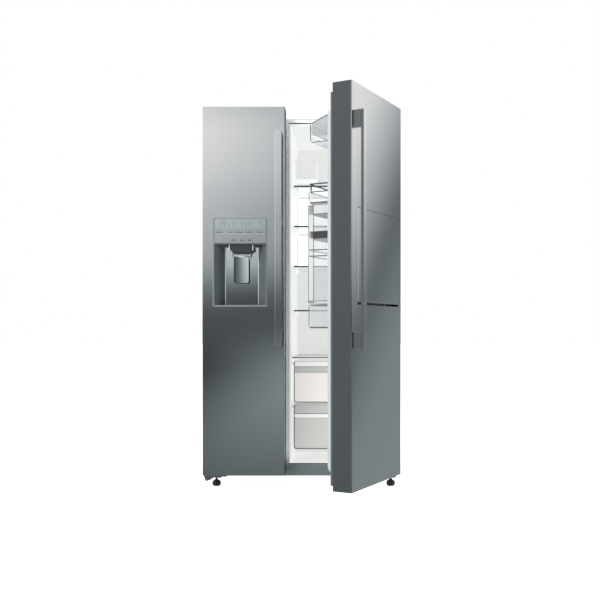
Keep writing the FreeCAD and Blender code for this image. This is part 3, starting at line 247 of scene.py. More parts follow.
FOAM = moulded("foam", (0.72, 0.62, 0.36), (0.84, 0.74, 0.48), 0.9, 300, 0.6)
WHITE_LINER = moulded("white_liner", (0.70, 0.72, 0.72), (0.76, 0.77, 0.76), 0.28, 500, 0.03)
# Painted light: the fridge's liner glows, standing in for the light inside the open compartment; it is no
# lamp.
GLOWING_LINER = moulded(
    "lit_liner", (0.42, 0.425, 0.42), (0.45, 0.455, 0.45), 0.30, 500, 0.03, Emission_Strength=0.95
)
# Painted shade: the doors' white inner liners are painted blue-grey, darker than the other white liners,
# for the shade on the doors' inner faces.
SHADED_DOOR_LINER = moulded("door_liner", (0.33, 0.37, 0.39), (0.36, 0.40, 0.42), 0.30, 500, 0.03)
# Painted light: white plastic parts in the fridge's compartment glow, standing in for the light inside it;
# they are no lamps.
GLOWING_PLASTIC = moulded(
    "lit_plastic", (0.42, 0.425, 0.42), (0.45, 0.455, 0.45), 0.34, 500, 0.04, Emission_Strength=0.95
)
WHITE_PLASTIC = moulded("white_plastic", (0.72, 0.74, 0.74), (0.78, 0.80, 0.79), 0.32, 500, 0.04)
TRIM = moulded("trim_plastic", (0.055, 0.060, 0.066), (0.080, 0.086, 0.092), 0.3)
GREY_PLASTIC = moulded("grey_plastic", (0.20, 0.21, 0.22), (0.26, 0.27, 0.28), 0.45)
DARK_PLASTIC = moulded("dark_plastic", (0.030, 0.033, 0.037), (0.045, 0.048, 0.053), 0.36)
BLACK_PLASTIC = moulded("black_plastic", (0.012, 0.012, 0.013), (0.022, 0.022, 0.024), 0.45, 400, 0.15)
PANEL_SILVER = moulded("panel_silver", (0.42, 0.46, 0.47), (0.50, 0.54, 0.55), 0.25, Metallic=0.5)
CLEAR = clear("clear_plastic", (0.74, 0.78, 0.79), 0.08, 0.07, 0.60)
SMOKE = clear("smoke_plastic", (0.30, 0.34, 0.36), 0.08, 0.40, 0.85)
GLASS = clear("shelf_glass", (0.80, 0.88, 0.86), 0.03, 0.16, 0.7)
# Painted light: both drawer plastics glow, standing in for the light inside the open compartment; the lower
# drawer's copy is greyer and glows less.
FROST = clear("frosted_drawer", (0.52, 0.50, 0.485), 0.30, 0.80, 0.97, Emission_Strength=0.68)
FROST_GREY = clear("frosted_low_drawer", (0.385, 0.385, 0.37), 0.30, 0.80, 0.97, Emission_Strength=0.62)
COVER_GLASS = clear("cover_glass", (0.90, 0.92, 0.90), 0.05, 0.10, 0.22)
# Painted light: the band on the drawer fronts glows faintly.
FROST_DARK = moulded(
    "frosted_band", (0.40, 0.41, 0.405), (0.44, 0.45, 0.445), 0.35, Emission_Strength=0.22
)
DIFFUSER = glow("lamp_diffuser", (0.8, 0.8, 0.8), 0.95)
WIRE = moulded("white_wire", (0.76, 0.77, 0.78), (0.82, 0.83, 0.84), 0.3)
STEEL_WIRE = brushed("steel_wire", (0.5, 0.5, 0.5), (0.62, 0.62, 0.63), 0.3)
FINS = brushed("aluminium_fins", (0.62, 0.63, 0.64), (0.75, 0.76, 0.77), 0.35)
BLACK_METAL = moulded("black_metal", (0.012, 0.012, 0.013), (0.022, 0.022, 0.023), 0.25)
RUBBER = moulded("seal_rubber", (0.080, 0.092, 0.096), (0.095, 0.108, 0.112), 0.6, 320, 0.2)

# the dispenser's and the door's smaller finishes
BEZEL = brushed("bezel_metal", (0.50, 0.54, 0.55), (0.58, 0.62, 0.63), 0.32)
RECESS = moulded("recess_plastic", (0.062, 0.076, 0.078), (0.078, 0.094, 0.096), 0.30)
# Painted reflection: the dispenser's back plate is painted bright at the top and dark at the bottom,
# copying the darker reflection that the steel shows lower down.
PLATE = shaded("recess_plate", (0.92, 1.06), (0.44, 0.47, 0.50), (0.92, 0.97, 0.97), 0.06, Metallic=1.0)
CHROME = moulded("bright_trim", (0.42, 0.46, 0.47), (0.48, 0.52, 0.53), 0.25)
PANEL = brushed("control_panel_metal", (0.60, 0.64, 0.65), (0.66, 0.70, 0.71), 0.14, depth=0.003)
DISPLAY = brushed("display_glass", (0.66, 0.72, 0.71), (0.70, 0.77, 0.76), 0.10, depth=0.001)
TEAL = moulded("display_segments", (0.045, 0.175, 0.150), (0.065, 0.21, 0.185), 0.4)
INK = moulded("printed_marks", (0.045, 0.055, 0.062), (0.065, 0.075, 0.082), 0.5)
NOZZLE = moulded("nozzle_plastic", (0.018, 0.020, 0.022), (0.026, 0.029, 0.031), 0.3)
PADDLE = brushed("paddle_metal", (0.58, 0.66, 0.66), (0.64, 0.72, 0.72), 0.20, depth=0.004)
TRAY_PAINT = moulded("tray_plastic", (0.012, 0.014, 0.015), (0.020, 0.023, 0.024), 0.40)
POST = moulded("post_plastic", (0.34, 0.36, 0.365), (0.40, 0.42, 0.425), 0.3)
RAIL = moulded("rail_plastic", (0.030, 0.035, 0.037), (0.045, 0.051, 0.054), 0.30)
# Near-black; round the home bar door it is painted shade in the gap.
SLIT = moulded("dark_slit", (0.010, 0.011, 0.012), (0.016, 0.017, 0.018), 0.6)

# the material of each slot that a CAD node can have
SLOTS = dict(
    stainless=STAINLESS, handle_metal=HANDLE_METAL, side_paint=CABINET_PAINT, zinc_sheet=ZINC,
    frame_steel=FRAME_STEEL, hinge_steel=HINGE_STEEL, foam=FOAM, white_liner=WHITE_LINER,
    white_plastic=WHITE_PLASTIC, trim_plastic=TRIM, grey_plastic=GREY_PLASTIC,
    dark_plastic=DARK_PLASTIC, black_plastic=BLACK_PLASTIC, panel_silver=PANEL_SILVER,
    clear_plastic=CLEAR, smoke_plastic=SMOKE, shelf_glass=GLASS, lamp_diffuser=DIFFUSER,
    white_wire=WIRE, wire_steel=STEEL_WIRE, aluminium_fins=FINS, black_metal=BLACK_METAL,
    seal_rubber=RUBBER,
)


def paint_cad_nodes():
    """Every CAD node takes the material of its slot; the fridge's liner takes the glowing one, painted
    light for the bright open compartment.
    """
    for entry in frame["record"]["subparts"]:
        paints = NODES[entry["node"]].data.materials
        paints.clear()
        paints.append(SLOTS[entry["material_slot"]])
    NODES["fridge_liner"].data.materials[0] = GLOWING_LINER


# ------------------------------------------------------------------ mesh building

CORNER_STEPS = 6  # sides that make up a rounded corner
TINY = 1e-6  # points nearer than this are one point


def rounded(x, z, radius):
    """Loop of points round a rectangle with rounded corners, given as two spans."""
    radius = max(min(radius, (x[1] - x[0]) / 2.001, (z[1] - z[0]) / 2.001), TINY)
    loop = []
    for at_x, at_z, start in ((1, 0, -90), (1, 1, 0), (0, 1, 90), (0, 0, 180)):
        centre_x = x[at_x] - radius if at_x else x[at_x] + radius
        centre_z = z[at_z] - radius if at_z else z[at_z] + radius
        for step in range(CORNER_STEPS + 1):
            angle = math.radians(start + 90 * step / CORNER_STEPS)
            loop.append((centre_x + radius * math.cos(angle), centre_z + radius * math.sin(angle)))
    return loop


def hoops(x, z, plan):
    """Upright loops round a rectangle, from rows of how far it grows, its depth and its corners."""
    return [
        [(a, depth, b) for a, b in rounded(grown(x, by), grown(z, by), radius)]
        for by, depth, radius in plan
    ]


def circle(centre, side, lift, radius, sides):
    angles = [2 * math.pi * i / sides for i in range(sides)]
    return [centre + radius * (math.cos(a) * side + math.sin(a) * lift) for a in angles]


class Shape:
    """A mesh put together from bevelled blocks, lofts, rods and lathed parts."""

    def __init__(self):
        self.bm = bmesh.new()

    def take(self, part, slot=None):
        """Adds a part; its faces take one material slot, or keep their own."""
        if slot is not None:
            for face in part.faces:
                face.material_index = slot
        mesh = bpy.data.meshes.new("part")
        part.to_mesh(mesh)
        part.free()
        self.bm.from_mesh(mesh)
        bpy.data.meshes.remove(mesh)
        return self

    def block(self, x, y, z, bevel=0.001, slot=0, segments=3):
        """Box with rounded edges, from its three spans."""
        part = bmesh.new()
        bmesh.ops.create_cube(part, size=1)
        for vert in part.verts:
            for axis, span in enumerate((x, y, z)):
                vert.co[axis] = span[0] if vert.co[axis] < 0 else span[1]
        if bevel:
            reach = min(bevel, 0.45 * min(b - a for a, b in (x, y, z)))
            bmesh.ops.bevel(
                part, geom=part.edges[:], offset=reach, segments=segments, profile=0.5, affect="EDGES"
            )
        return self.take(part, slot)

    def loft(self, loops, caps=(True, True), ring=False, bevel=0.0, slot=0):
        """Skins a list of equally long loops of 3-D points."""
        part = bmesh.new()
        rows = [[part.verts.new(point) for point in loop] for loop in loops]
        count = len(rows[0])
        for first, second in zip(rows, rows[1:] + rows[:1] if ring else rows[1:]):
            for i in range(count):
                j = (i + 1) % count
                part.faces.new((first[i], first[j], second[j], second[i]))
        if not ring and caps[0]:
            part.faces.new(list(reversed(rows[0])))
        if not ring and caps[1]:
            part.faces.new(rows[-1])
        bmesh.ops.remove_doubles(part, verts=part.verts[:], dist=TINY)
        bmesh.ops.recalc_face_normals(part, faces=part.faces[:])
        if bevel:
            bmesh.ops.bevel(
                part, geom=part.edges[:], offset=bevel, segments=2, profile=0.5, affect="EDGES"
            )
        return self.take(part, slot)

    def prism(self, points, axis, span, bevel=0.0):
        """Polygon in the plane across an axis, drawn out along it. Points go round in order."""
        at = "xyz".index(axis)
        loops = [[(*point[:at], along, *point[at:]) for point in points] for along in span]
        return self.loft(loops, bevel=bevel)

    def lathe(self, profile, centre, axis="z", sides=40, slot=0):
        """Profile of (radius, height) turned round the y or z axis through centre."""
        x, y, z = Matrix.Identity(3)
        side, lift, along = (z, x, y) if axis == "y" else (x, y, z)
        loops = [circle(centre + height * along, side, lift, radius, sides) for radius, height in profile]
        return self.loft(loops, slot=slot)

    def rod(self, start, end, radius, slot=0, sides=12):
        """Round bar between two points, with eased ends."""
        start, end = Vector(start), Vector(end)
        along = (end - start).normalized()
        side = along.orthogonal().normalized()
        ease = min(radius * 0.4, (end - start).length / 4)
        stops = (
            (start, radius - ease), (start + along * ease, radius),
            (end - along * ease, radius), (end, radius - ease),
        )
        loops = [circle(place, side, along.cross(side), reach, sides) for place, reach in stops]
        return self.loft(loops, slot=slot)

    def sweep(self, points, radius, sides=10):
        """Round bar along a line of points on one level."""
        points = [Vector(point) for point in points]
        loops = []
        for i, point in enumerate(points):
            ahead = (points[min(i + 1, len(points) - 1)] - points[max(i - 1, 0)]).normalized()
            side = ahead.cross(Vector((0, 0, 1))).normalized()
            loops.append(circle(point, side, side.cross(ahead).normalized(), radius, sides))
        return self.loft(loops)

    def tray(self, x, y, z, wall, radius, lip=0.0):
        """Open-topped box with rounded corners; lip is how far its rim stands out."""
        rim = z[1] - (0.004 if lip else 0.0015)
        ease = min(0.003, wall)
        plan = (
            (-ease, z[0], radius), (0, z[0] + ease, radius), (0, rim, radius),
            (lip, rim, radius + lip), (lip, z[1], radius + lip),
            (-wall, z[1], radius - wall), (-wall, z[0] + wall + ease, radius - wall),
            (-wall - ease, z[0] + wall, radius - wall - ease),
        )
        loops = hoops(x, y, [(by, height, max(turn, 0.0005)) for by, height, turn in plan])
        return self.loft([[(a, b, height) for a, height, b in loop] for loop in loops])

    def frame(self, outer, inner, y, radius, bevel=0.0006):
        """Flat ring in the XZ plane between two rectangles, each given as two spans."""
        front, ease = y[0], y[0] + bevel
        loops = hoops(*outer, [(by, at, radius[0]) for by, at in ((0, y[1]), (0, ease), (-bevel, front))])
        loops += hoops(*inner, [(by, at, radius[1]) for by, at in ((bevel, front), (0, ease), (0, y[1]))])
        return self.loft(loops, ring=True)

    def done(self, name, body, slot, *materials, replaces=None, crease=35):
        """Makes the object, turns it to where it rests and ties it to its body."""
        self.bm.normal_update()
        for edge in self.bm.edges:
            sharp = len(edge.link_faces) == 2 and edge.calc_face_angle(0) > math.radians(crease)
            edge.smooth = not sharp
        for face in self.bm.faces:
            face.smooth = True
        mesh = bpy.data.meshes.new(name)
        self.bm.to_mesh(mesh)
        self.bm.free()
        mesh.transform(turn_of(body))
        made = bpy.data.objects.new(name, mesh)
        for material in materials:
            mesh.materials.append(material)
        bpy.context.collection.objects.link(made)
        normals = made.modifiers.new("normals", "WEIGHTED_NORMAL")
        normals.keep_sharp = True
        normals.weight = 100
        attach(made, body)
        if replaces:
            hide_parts(replaces)
        return made


def thicken(piece, thickness, offset):
    wall = piece.modifiers.new("thickness", "SOLIDIFY")
    wall.thickness = thickness
    wall.offset = offset


# ------------------------------------------------------------------ doors


def door_shell(door, window):
    """Folded steel skin: brushed front with rounded folds, dark painted sides, and a window."""
    node = door + "_skin"
    x, y, z = spans(node)
    sheet, fold, count = 0.0012, 0.003, 4
    arc = [math.radians(90 * i / count) for i in range(count + 1)]
    window_x, window_z = window
    outer = [(x[0], y[1])]
    outer += [(x[0] + fold - fold * math.cos(a), y[0] + fold - fold * math.sin(a)) for a in arc]
    gap = len(outer)
    outer += [(window_x[0], y[0]), (window_x[1], y[0])]
    outer += [(x[1] - fold + fold * math.sin(a), y[0] + fold - fold * math.cos(a)) for a in arc]
    outer += [(x[1], y[1])]
    back_gap = len(outer) + 2
    inside, back = grown(x, -sheet), y[0] + sheet
    loop = outer + [
        (inside[1], y[1]), (inside[1], back), (window_x[1], back),
        (window_x[0], back), (inside[0], back), (inside[0], y[1]),
    ]
    part = bmesh.new()
    rows = [[part.verts.new((a, b, height)) for a, b in loop] for height in (z[0], *window_z, z[1])]
    for level, (first, second) in enumerate(zip(rows, rows[1:])):
        for i in range(len(loop)):
            if level == 1 and i in (gap, back_gap):
                continue
            j = (i + 1) % len(loop)
            face = part.faces.new((first[i], first[j], second[j], second[i]))
            face.material_index = 1 if i in (0, len(outer) - 2) else 0
    sill, head = rows[1:3]
    for edge in (sill, head):
        part.faces.new((edge[gap], edge[gap + 1], edge[back_gap], edge[back_gap + 1]))
    for i, j in ((gap, back_gap + 1), (gap + 1, back_gap)):
        part.faces.new((sill[i], sill[j], head[j], head[i]))
    part.faces.new(rows[0])
    part.faces.new(rows[-1])
    bmesh.ops.recalc_face_normals(part, faces=part.faces[:])
    skin = Shape().take(part)
    skin.done(node + "_folded", door, "stainless", STAINLESS, SLATE, replaces=node, crease=30)


def bar_handle(node, door):
    """Flat bar on two solid end blocks, with a fine joint line between bar and blocks."""
    x, y, z = spans(node)
    bar_back = y[0] + 0.0125
    block_tall, joint_gap, shy = 0.070, 0.0006, 0.0004
    shape = Shape().block(x, (y[0], bar_back), z, 0.0022, segments=4)
    for end in ends(z, block_tall):
        block_x, core = grown(x, -shy), (bar_back - 0.001, bar_back + 0.003)
        shape.block(block_x, (bar_back + joint_gap, y[1]), grown(end, -shy), 0.0014)
        shape.block(grown(block_x, -0.004), core, grown(end, -0.004), 0)
    shape.bm.normal_update()
    for face in shape.bm.faces:
        if abs(face.normal.x) > 0.7:
            face.material_index = 1
    shape.done(node + "_bar", door, "handle_metal", HANDLE_METAL, HANDLE_SIDE, replaces=node)


# sections of the seals, as pairs of how far in and what share of the depth:
# a base strip, two bellows folds and the magnet's rounded pad, and a plainer one for the home bar
DOOR_SEAL = (
    (0.000, 0.00), (0.000, 0.22), (0.0022, 0.30), (0.0022, 0.38), (0.0004, 0.46),
    (0.0004, 0.56), (0.0020, 0.62), (0.0008, 0.70), (0.0000, 0.80), (0.0006, 0.94),
    (0.0022, 1.00), (0.0090, 1.00), (0.0120, 0.94), (0.0125, 0.74), (0.0105, 0.64),
    (0.0130, 0.52), (0.0110, 0.40), (0.016, 0.22), (0.016, 0.00),
)
HOME_BAR_SEAL = (
    (0.0, 0.0), (0.0, 0.35), (0.002, 0.55), (0.002, 0.8),
    (0.004, 1.0), (0.008, 1.0), (0.0105, 0.7), (0.0105, 0.0),
)


def seal(node, body, section, least_corner):
    """Soft ring with a given section, its corners never tighter than the least."""
    x, y, z = spans(node)
    deep = y[1] - y[0]
    plan = [(-inset, y[0] + share * deep, max(0.006 - inset, least_corner)) for inset, share in section]
    ring = Shape().loft(hoops(x, z, plan), ring=True)
    ring.done(node + "_bellows", body, "seal_rubber", RUBBER, replaces=node, crease=50)


def end_caps(door):
    """Moulded ends of a door with a shallow pocket and cross ribs."""
    node = door + "_caps"
    x, y, z = spans(node)
    tall, deep, lip, rib = 0.018, 0.004, 0.0075, 0.0022
    left_wall, right_wall = (x[0], x[0] + 0.012), (x[1] - 0.075, x[1])
    shape = Shape()
    for end, at_top in zip(ends(z, tall), (False, True)):
        crown = ends(end, deep)[at_top]
        base = (end[0], end[1] - deep) if at_top else (end[0] + deep, end[1])
        shape.block(x, y, base, 0.0006)
        for wall_x, wall_y in ((left_wall, y), (right_wall, y), *((x, side) for side in ends(y, lip))):
            shape.block(wall_x, wall_y, crown, 0.0006)
        count = round((x[1] - x[0]) / 0.05)
        for rib_x in row((left_wall[1], right_wall[0]), count + 1)[1:-1]:
            shape.block((rib_x, rib_x + rib), y, crown, 0.0004)
    shape.done(node + "_ribbed", door, "dark_plastic", DARK_PLASTIC, replaces=node)


def inner_face(door, window=None, hole=None, seat=None):
    """Vacuum formed inner face: flat rim, rounded dyke and pan, and the home bar's tunnel."""
    node = door + "_liner"
    x, y, z = spans(node)
    dyke_x, _, dyke_z = spans(node, lambda place: place.y > y[1] - 0.0005)
    radius, soft, wall, lift = 0.036, 0.006, 0.012, 0.0009
    pan = spans("freezer_door_skin")[1][1] - lift
    crest = y[1] - lift
    rise = (
        (0.0, pan), (-0.0012, pan + soft), (-0.002, crest - soft),
        (-0.002 - soft * 0.3, crest - soft * 0.3), (-0.002 - soft * 0.7, crest),
        (-wall + 0.001, crest), (-wall - 0.001, crest - soft * 0.4), (-wall - 0.002, crest - soft),
        (-wall - 0.003, pan + soft), (-wall - 0.005, pan + soft * 0.3), (-wall - 0.009, pan),
    )
    loops = hoops(x, z, [(-lift, pan, 0.002)])
    loops += hoops(dyke_x, dyke_z, [(by, depth, radius + by) for by, depth in rise])
    if hole:
        floor = seat + lift
        tunnel = ((0, pan), (-0.0006, pan - 0.002), (-0.0006, floor + 0.001), (0.001, floor))
        loops += hoops(*hole, [(by, depth, 0.010) for by, depth in tunnel])
        loops += hoops(*window, [(0.0002, floor, 0.002), (0.0008, y[0] + 0.0006, 0.002)])
    shape = Shape().loft(loops, caps=(False, not hole))
    # The inner face takes the darker door liner paint, painted shade.
    made = shape.done(node + "_formed", door, "white_liner", SHADED_DOOR_LINER, replaces=node, crease=50)
    thicken(made, 2 * lift, 0)


def door_front(kind, window, **opening):
    """What both doors have: skin, handle, seal, end caps and inner face."""
    door = kind + "_door"
    door_shell(door, window)
    bar_handle(kind + "_handle", door)
    seal(kind + "_gasket", door, DOOR_SEAL, 0.0015)
    end_caps(door)
    inner_face(door, window, **opening)


# ------------------------------------------------------------------ dispenser


# which bars of a seven-part digit are lit, and where each bar lies: across in digit widths,
# up in half heights
LIT_BARS = {"2": "abdeg", "3": "abcdg", "5": "acdfg", "-": "g"}
BARS = {
    "a": ((0, 1), (2, 2)), "b": ((1, 1), (1, 2)), "c": ((1, 1), (0, 1)), "d": ((0, 1), (0, 0)),
    "e": ((0, 0), (0, 1)), "f": ((0, 0), (1, 2)), "g": ((0, 1), (1, 1)),
}


def digits(shape, text, x, z, y, tall):
    """Digits of a display, as thin raised bars."""
    wide, half_bar, gap = tall * 0.36, tall * 0.05, tall * 0.02
    for number, mark in enumerate(text):
        left = x + number * wide * 1.42
        for across, up in (BARS[name] for name in LIT_BARS[mark]):
            level = up[0] == up[1]
            bar_x = grown([left + place * wide for place in across], -gap if level else half_bar)
            bar_z = grown([z + place * tall / 2 for place in up], half_bar if level else -gap)
            shape.block(bar_x, y, bar_z, 0, 1)


def dispenser():
    """Bezel, slanted recess, back plate, trims and drip grille."""
    body = "freezer_door"
    x, y, z = spans("dispenser_housing")
    panel_x, _, panel_z = spans("control_panel")
    front = y[0]
    plate_y = front + 0.0745
    mouth_x = grown(panel_x, 0.0001)
    floor, roof = z[0] + 0.006, panel_z[0] - 0.0031
    bezel = Shape().frame(
        (x, z), (mouth_x, (floor, z[1] - 0.004)), (front, front + 0.012), (0.004, 0.002), 0.0012
    )
    bezel.block(grown(mouth_x, 0.001), (front + 0.0004, front + 0.03), (roof, panel_z[0]), 0.0009)
    bezel.block(mouth_x, (front + 0.0006, front + 0.016), (floor - 0.002, floor + 0.0035), 0.0015)
    bezel.done("dispenser_bezel", body, "panel_silver", BEZEL)

    taper, start, steps = 0.040, front + 0.003, 12
    inner_x = grown(mouth_x, -taper)
    recess = Shape()
    for near, far, sign in ((mouth_x[0], inner_x[0], 1), (mouth_x[1], inner_x[1], -1)):
        curve = []
        for t in (i / steps for i in range(steps + 1)):
            swell = 0.006 * math.sin(math.pi * t)
            curve.append((near + (far - near) * t + sign * swell, start + (plate_y - start) * t))
        outside = near - sign * 0.001
        recess.prism(curve + [(outside, plate_y), (outside, start)], "z", (floor - 0.002, roof + 0.002))
    for slab in ((roof - 0.002, roof + 0.002), (floor - 0.003, floor + 0.0012)):
        recess.block(mouth_x, (front + 0.012, plate_y), slab, 0.0008)
    recess.block(grown(mouth_x, 0.0005), (plate_y + 0.0008, y[1]), grown(z, -0.003), 0.001)
    recess.done("dispenser_recess", body, "dark_plastic", RECESS, replaces="dispenser_housing", crease=25)

    plate = Shape()
    plate.block(grown(inner_x, -0.0035), (plate_y - 0.0012, plate_y + 0.001), (floor, roof - 0.011), 0.0004)
    plate.done("dispenser_plate", body, "panel_silver", PLATE)
    trims = Shape()
    for trim_x in ends(inner_x, 0.0048):
        trims.block(trim_x, (plate_y - 0.006, plate_y), (floor + 0.001, roof - 0.008), 0.0018)
    trims.block(inner_x, (plate_y - 0.003, plate_y), (roof - 0.0125, roof - 0.010), 0.001)
    trims.done("dispenser_trims", body, "panel_silver", CHROME)

    grille = Shape()
    for bar_x in row((mouth_x[0] + 0.012, mouth_x[1] - 0.016), 13):
        bar_z = (floor + 0.0012, floor + 0.0032)
        grille.block((bar_x, bar_x + 0.004), (front + 0.018, plate_y - 0.008), bar_z, 0.0006)
    for bar_y in (front + 0.017, plate_y - 0.012):
        bar_z = (floor + 0.001, floor + 0.0034)
        grille.block(grown(mouth_x, -0.008), (bar_y, bar_y + 0.003), bar_z, 0.0006)
    grille.done("drip_grille", body, "dark_plastic", DARK_PLASTIC)


def control_panel():
    """Panel with a display of digits and level bars, and plain dashes for its labels."""
    body = "freezer_door"
    x, y, z = spans("control_panel")
    face = Shape().block(x, y, z, 0.0014)
    face.done("control_panel_face", body, "panel_silver", PANEL, replaces="control_panel")
    glass_x, glass_z = grown(x, -0.006), (z[0] + 0.066, z[1] - 0.007)
    window = Shape().block(glass_x, (y[0] - 0.0003, y[0] + 0.0002), glass_z, 0.0001)
    window.done("display_window", body, "panel_silver", DISPLAY)
    marks = Shape()
    ink = (y[0] - 0.0005, y[0] - 0.0002)
    digit_z = glass_z[0] + 0.010
    wide = glass_x[1] - glass_x[0]
    digits(marks, "-23", glass_x[0] + 0.007, digit_z, ink, 0.027)
    digits(marks, "5", glass_x[1] - 0.020, digit_z, ink, 0.026)
    for place, tall in ((0.27, 0.014), (0.36, 0.024), (0.53, 0.024), (0.61, 0.018), (0.68, 0.022)):
        left = glass_x[0] + place * wide
        marks.block((left, left + 0.0032), ink, (digit_z + 0.001, digit_z + 0.001 + tall), 0, 1)
    for place, long in ((0.01, 0.030), (0.27, 0.018), (0.39, 0.036), (0.61, 0.030), (0.83, 0.031)):
        left = glass_x[0] + place * wide
        marks.block((left, left + long), ink, (z[0] + 0.0490, z[0] + 0.0525), 0)
    for place in (0.335, 0.505, 0.665):
        left = glass_x[0] + place * wide
        marks.block((left - 0.003, left + 0.015), ink, (z[0] + 0.0105, z[0] + 0.0145), 0)
        marks.block((left + 0.003, left + 0.009), ink, (z[0] + 0.0165, z[0] + 0.0200), 0)
    marks.block(glass_x, ink, (z[0] + 0.042, z[0] + 0.0426), 0, 2)
    marks.done("display_marks", body, "panel_silver", INK, TEAL, CHROME, crease=80)


def nozzle():
    """Spout with cut lower corners, ears that hold the paddle, and bright wings."""
    node = "nozzle_housing"
    x, y, z = spans(node)
    cut, reach = 0.012, 0.0055
    base = spans(node, lambda place: place.y < y[0] + 0.0002)[2][0] + 0.004
    spout = Shape().prism([
        (x[0], z[1]), (x[0], base + cut), (x[0] + cut, base),
        (x[1] - cut, base), (x[1], base + cut), (x[1], z[1]),
    ], "y", y, 0.0012)
    pivot = joint("dispenser_paddle_hinge")["pos_m"][1]
    for ear_x in ends(spans("dispenser_paddle")[0], 0.004):
        spout.block(ear_x, (pivot - reach, pivot + reach), (z[0] + 0.007 - reach, base + 0.012), 0.0015, 1)
    spout.done("nozzle", "freezer_door", "dark_plastic", NOZZLE, PADDLE, replaces=node)
    wings = Shape()
    for wing_x in ends(grown(x, 0.0045), 0.004):
        wings.block(wing_x, (y[0] - 0.001, y[0] + 0.012), (base + cut - 0.004, z[1]), 0.0012)
    wings.done("nozzle_wings", "freezer_door", "panel_silver", CHROME)


def paddle():
    """Concave lever with rounded corners and its hinge rod."""
    node = "dispenser_paddle"
    x, y, z = spans(node)
    pivot = joint("dispenser_paddle_hinge")["pos_m"][1]
    rod, sink, edge, radius, columns = 0.003, 0.0062, 0.001, 0.007, 25
    wide = (x[0] + 0.0075, x[1] - 0.0105)
    bottom, top = z[0], z[1] - 2 * rod - 0.002
    back = y[1] - 0.002
    middle, half = (wide[0] + wide[1]) / 2, (wide[1] - wide[0]) / 2
    loops = []
    for i in range(columns):
        place = wide[0] + 2 * half * (0.5 - 0.5 * math.cos(math.pi * i / (columns - 1)))
        near = min(place - wide[0], wide[1] - place)
        trim = radius - math.sqrt(max(radius ** 2 - (radius - near) ** 2, 0)) if near < radius else 0
        face = y[0] + sink * (1 - ((place - middle) / half) ** 2)
        low, high = bottom + trim, top - trim
        section = (
            (face + 0.0008, low), (face, low + edge), (face, high - edge),
            (face + 0.0008, high), (back, high), (back, low),
        )
        loops.append([(place, depth, height) for depth, height in section])
    rod_z = z[1] - rod
    shape = Shape().loft(loops).rod((x[0], pivot, rod_z), (x[1], pivot, rod_z), rod, slot=1)
    shape.block(grown(wide, -0.018), (pivot - 0.001, back), (top - 0.003, rod_z), 0.0008, slot=1)
    shape.done("paddle_lever", node, "dark_plastic", PADDLE, LEVER_ARM, replaces=node, crease=30)


# ------------------------------------------------------------------ fridge door


def home_bar_panel():
    """Fold-down door's brushed front sheet with folded edges."""
    x, y, z = spans("home_bar_front")
    sheet, ease = 0.0012, 0.0016
    plan = ((0, y[1]), (0, y[0] + ease), (-ease * 0.3, y[0] + ease * 0.3), (-ease, y[0]), (-0.01, y[0]))
    shape = Shape().loft(hoops(x, z, [(by, depth, 0.0015) for by, depth in plan]), caps=(False, True))
    made = shape.done(
        "home_bar_face", "home_bar_door", "stainless", STAINLESS, replaces="home_bar_front", crease=40
    )
    thicken(made, sheet, -1)


def home_bar_channel(window):
    """Dark lining of the gap round the home bar door: near-black sheets that are painted shade, standing in
    for the shade deep in the gap.
    """
    depth = (spans("home_bar_front")[1][0] + 0.0016, spans("home_bar_gasket")[1][1] - 0.006)
    thin, shy = 0.0009, 0.0001
    window_x, window_z = window
    channel = Shape()
    for x in ends(grown(window_x, -shy), thin - shy):
        channel.block(x, depth, window_z, 0)
    for z in ends(grown(window_z, -shy), thin - shy):
        channel.block(grown(window_x, -thin), depth, z, 0)
    channel.done("home_bar_channel", "fridge_door", "dark_plastic", SLIT)


def home_bar_plug():
    """Inner side of the home bar door: dark rim with its pins, and a white sunken tray."""
    node, body = "home_bar_back", "home_bar_door"
    pin_x, y, z = spans(node)
    front_x, front_y, _ = spans("home_bar_front")
    x = grown(front_x, -0.0013)
    rim = Shape().frame(
        (x, z), (grown(x, -0.014), grown(z, -0.014)), (front_y[0] + 0.012, y[1] - 0.004), (0.003, 0.004)
    )
    pin = DOOR.inverted() @ Vector(joint("home_bar_hinge")["pos_m"])
    for start, end in ((pin_x[0], x[0] + 0.004), (x[1] - 0.004, pin_x[1])):
        rim.rod((start, pin.y, pin.z), (end, pin.y, pin.z), 0.003)
    rim.done("home_bar_rim", body, "dark_plastic", SLIT, replaces=node)
    top, sunk = y[1], y[1] - 0.0145
    plan = (
        (0.0, y[1] - 0.0165, 0.006), (0.0, top - 0.0015, 0.006), (-0.0015, top, 0.006),
        (-0.0325, top, 0.012), (-0.034, top - 0.0015, 0.012), (-0.035, sunk + 0.003, 0.012),
        (-0.038, sunk, 0.012),
    )
    plate = Shape().loft(hoops(grown(x, -0.0125), grown(z, -0.0125), plan))
    plate.done("home_bar_plate", body, "white_liner", WHITE_LINER, crease=50)


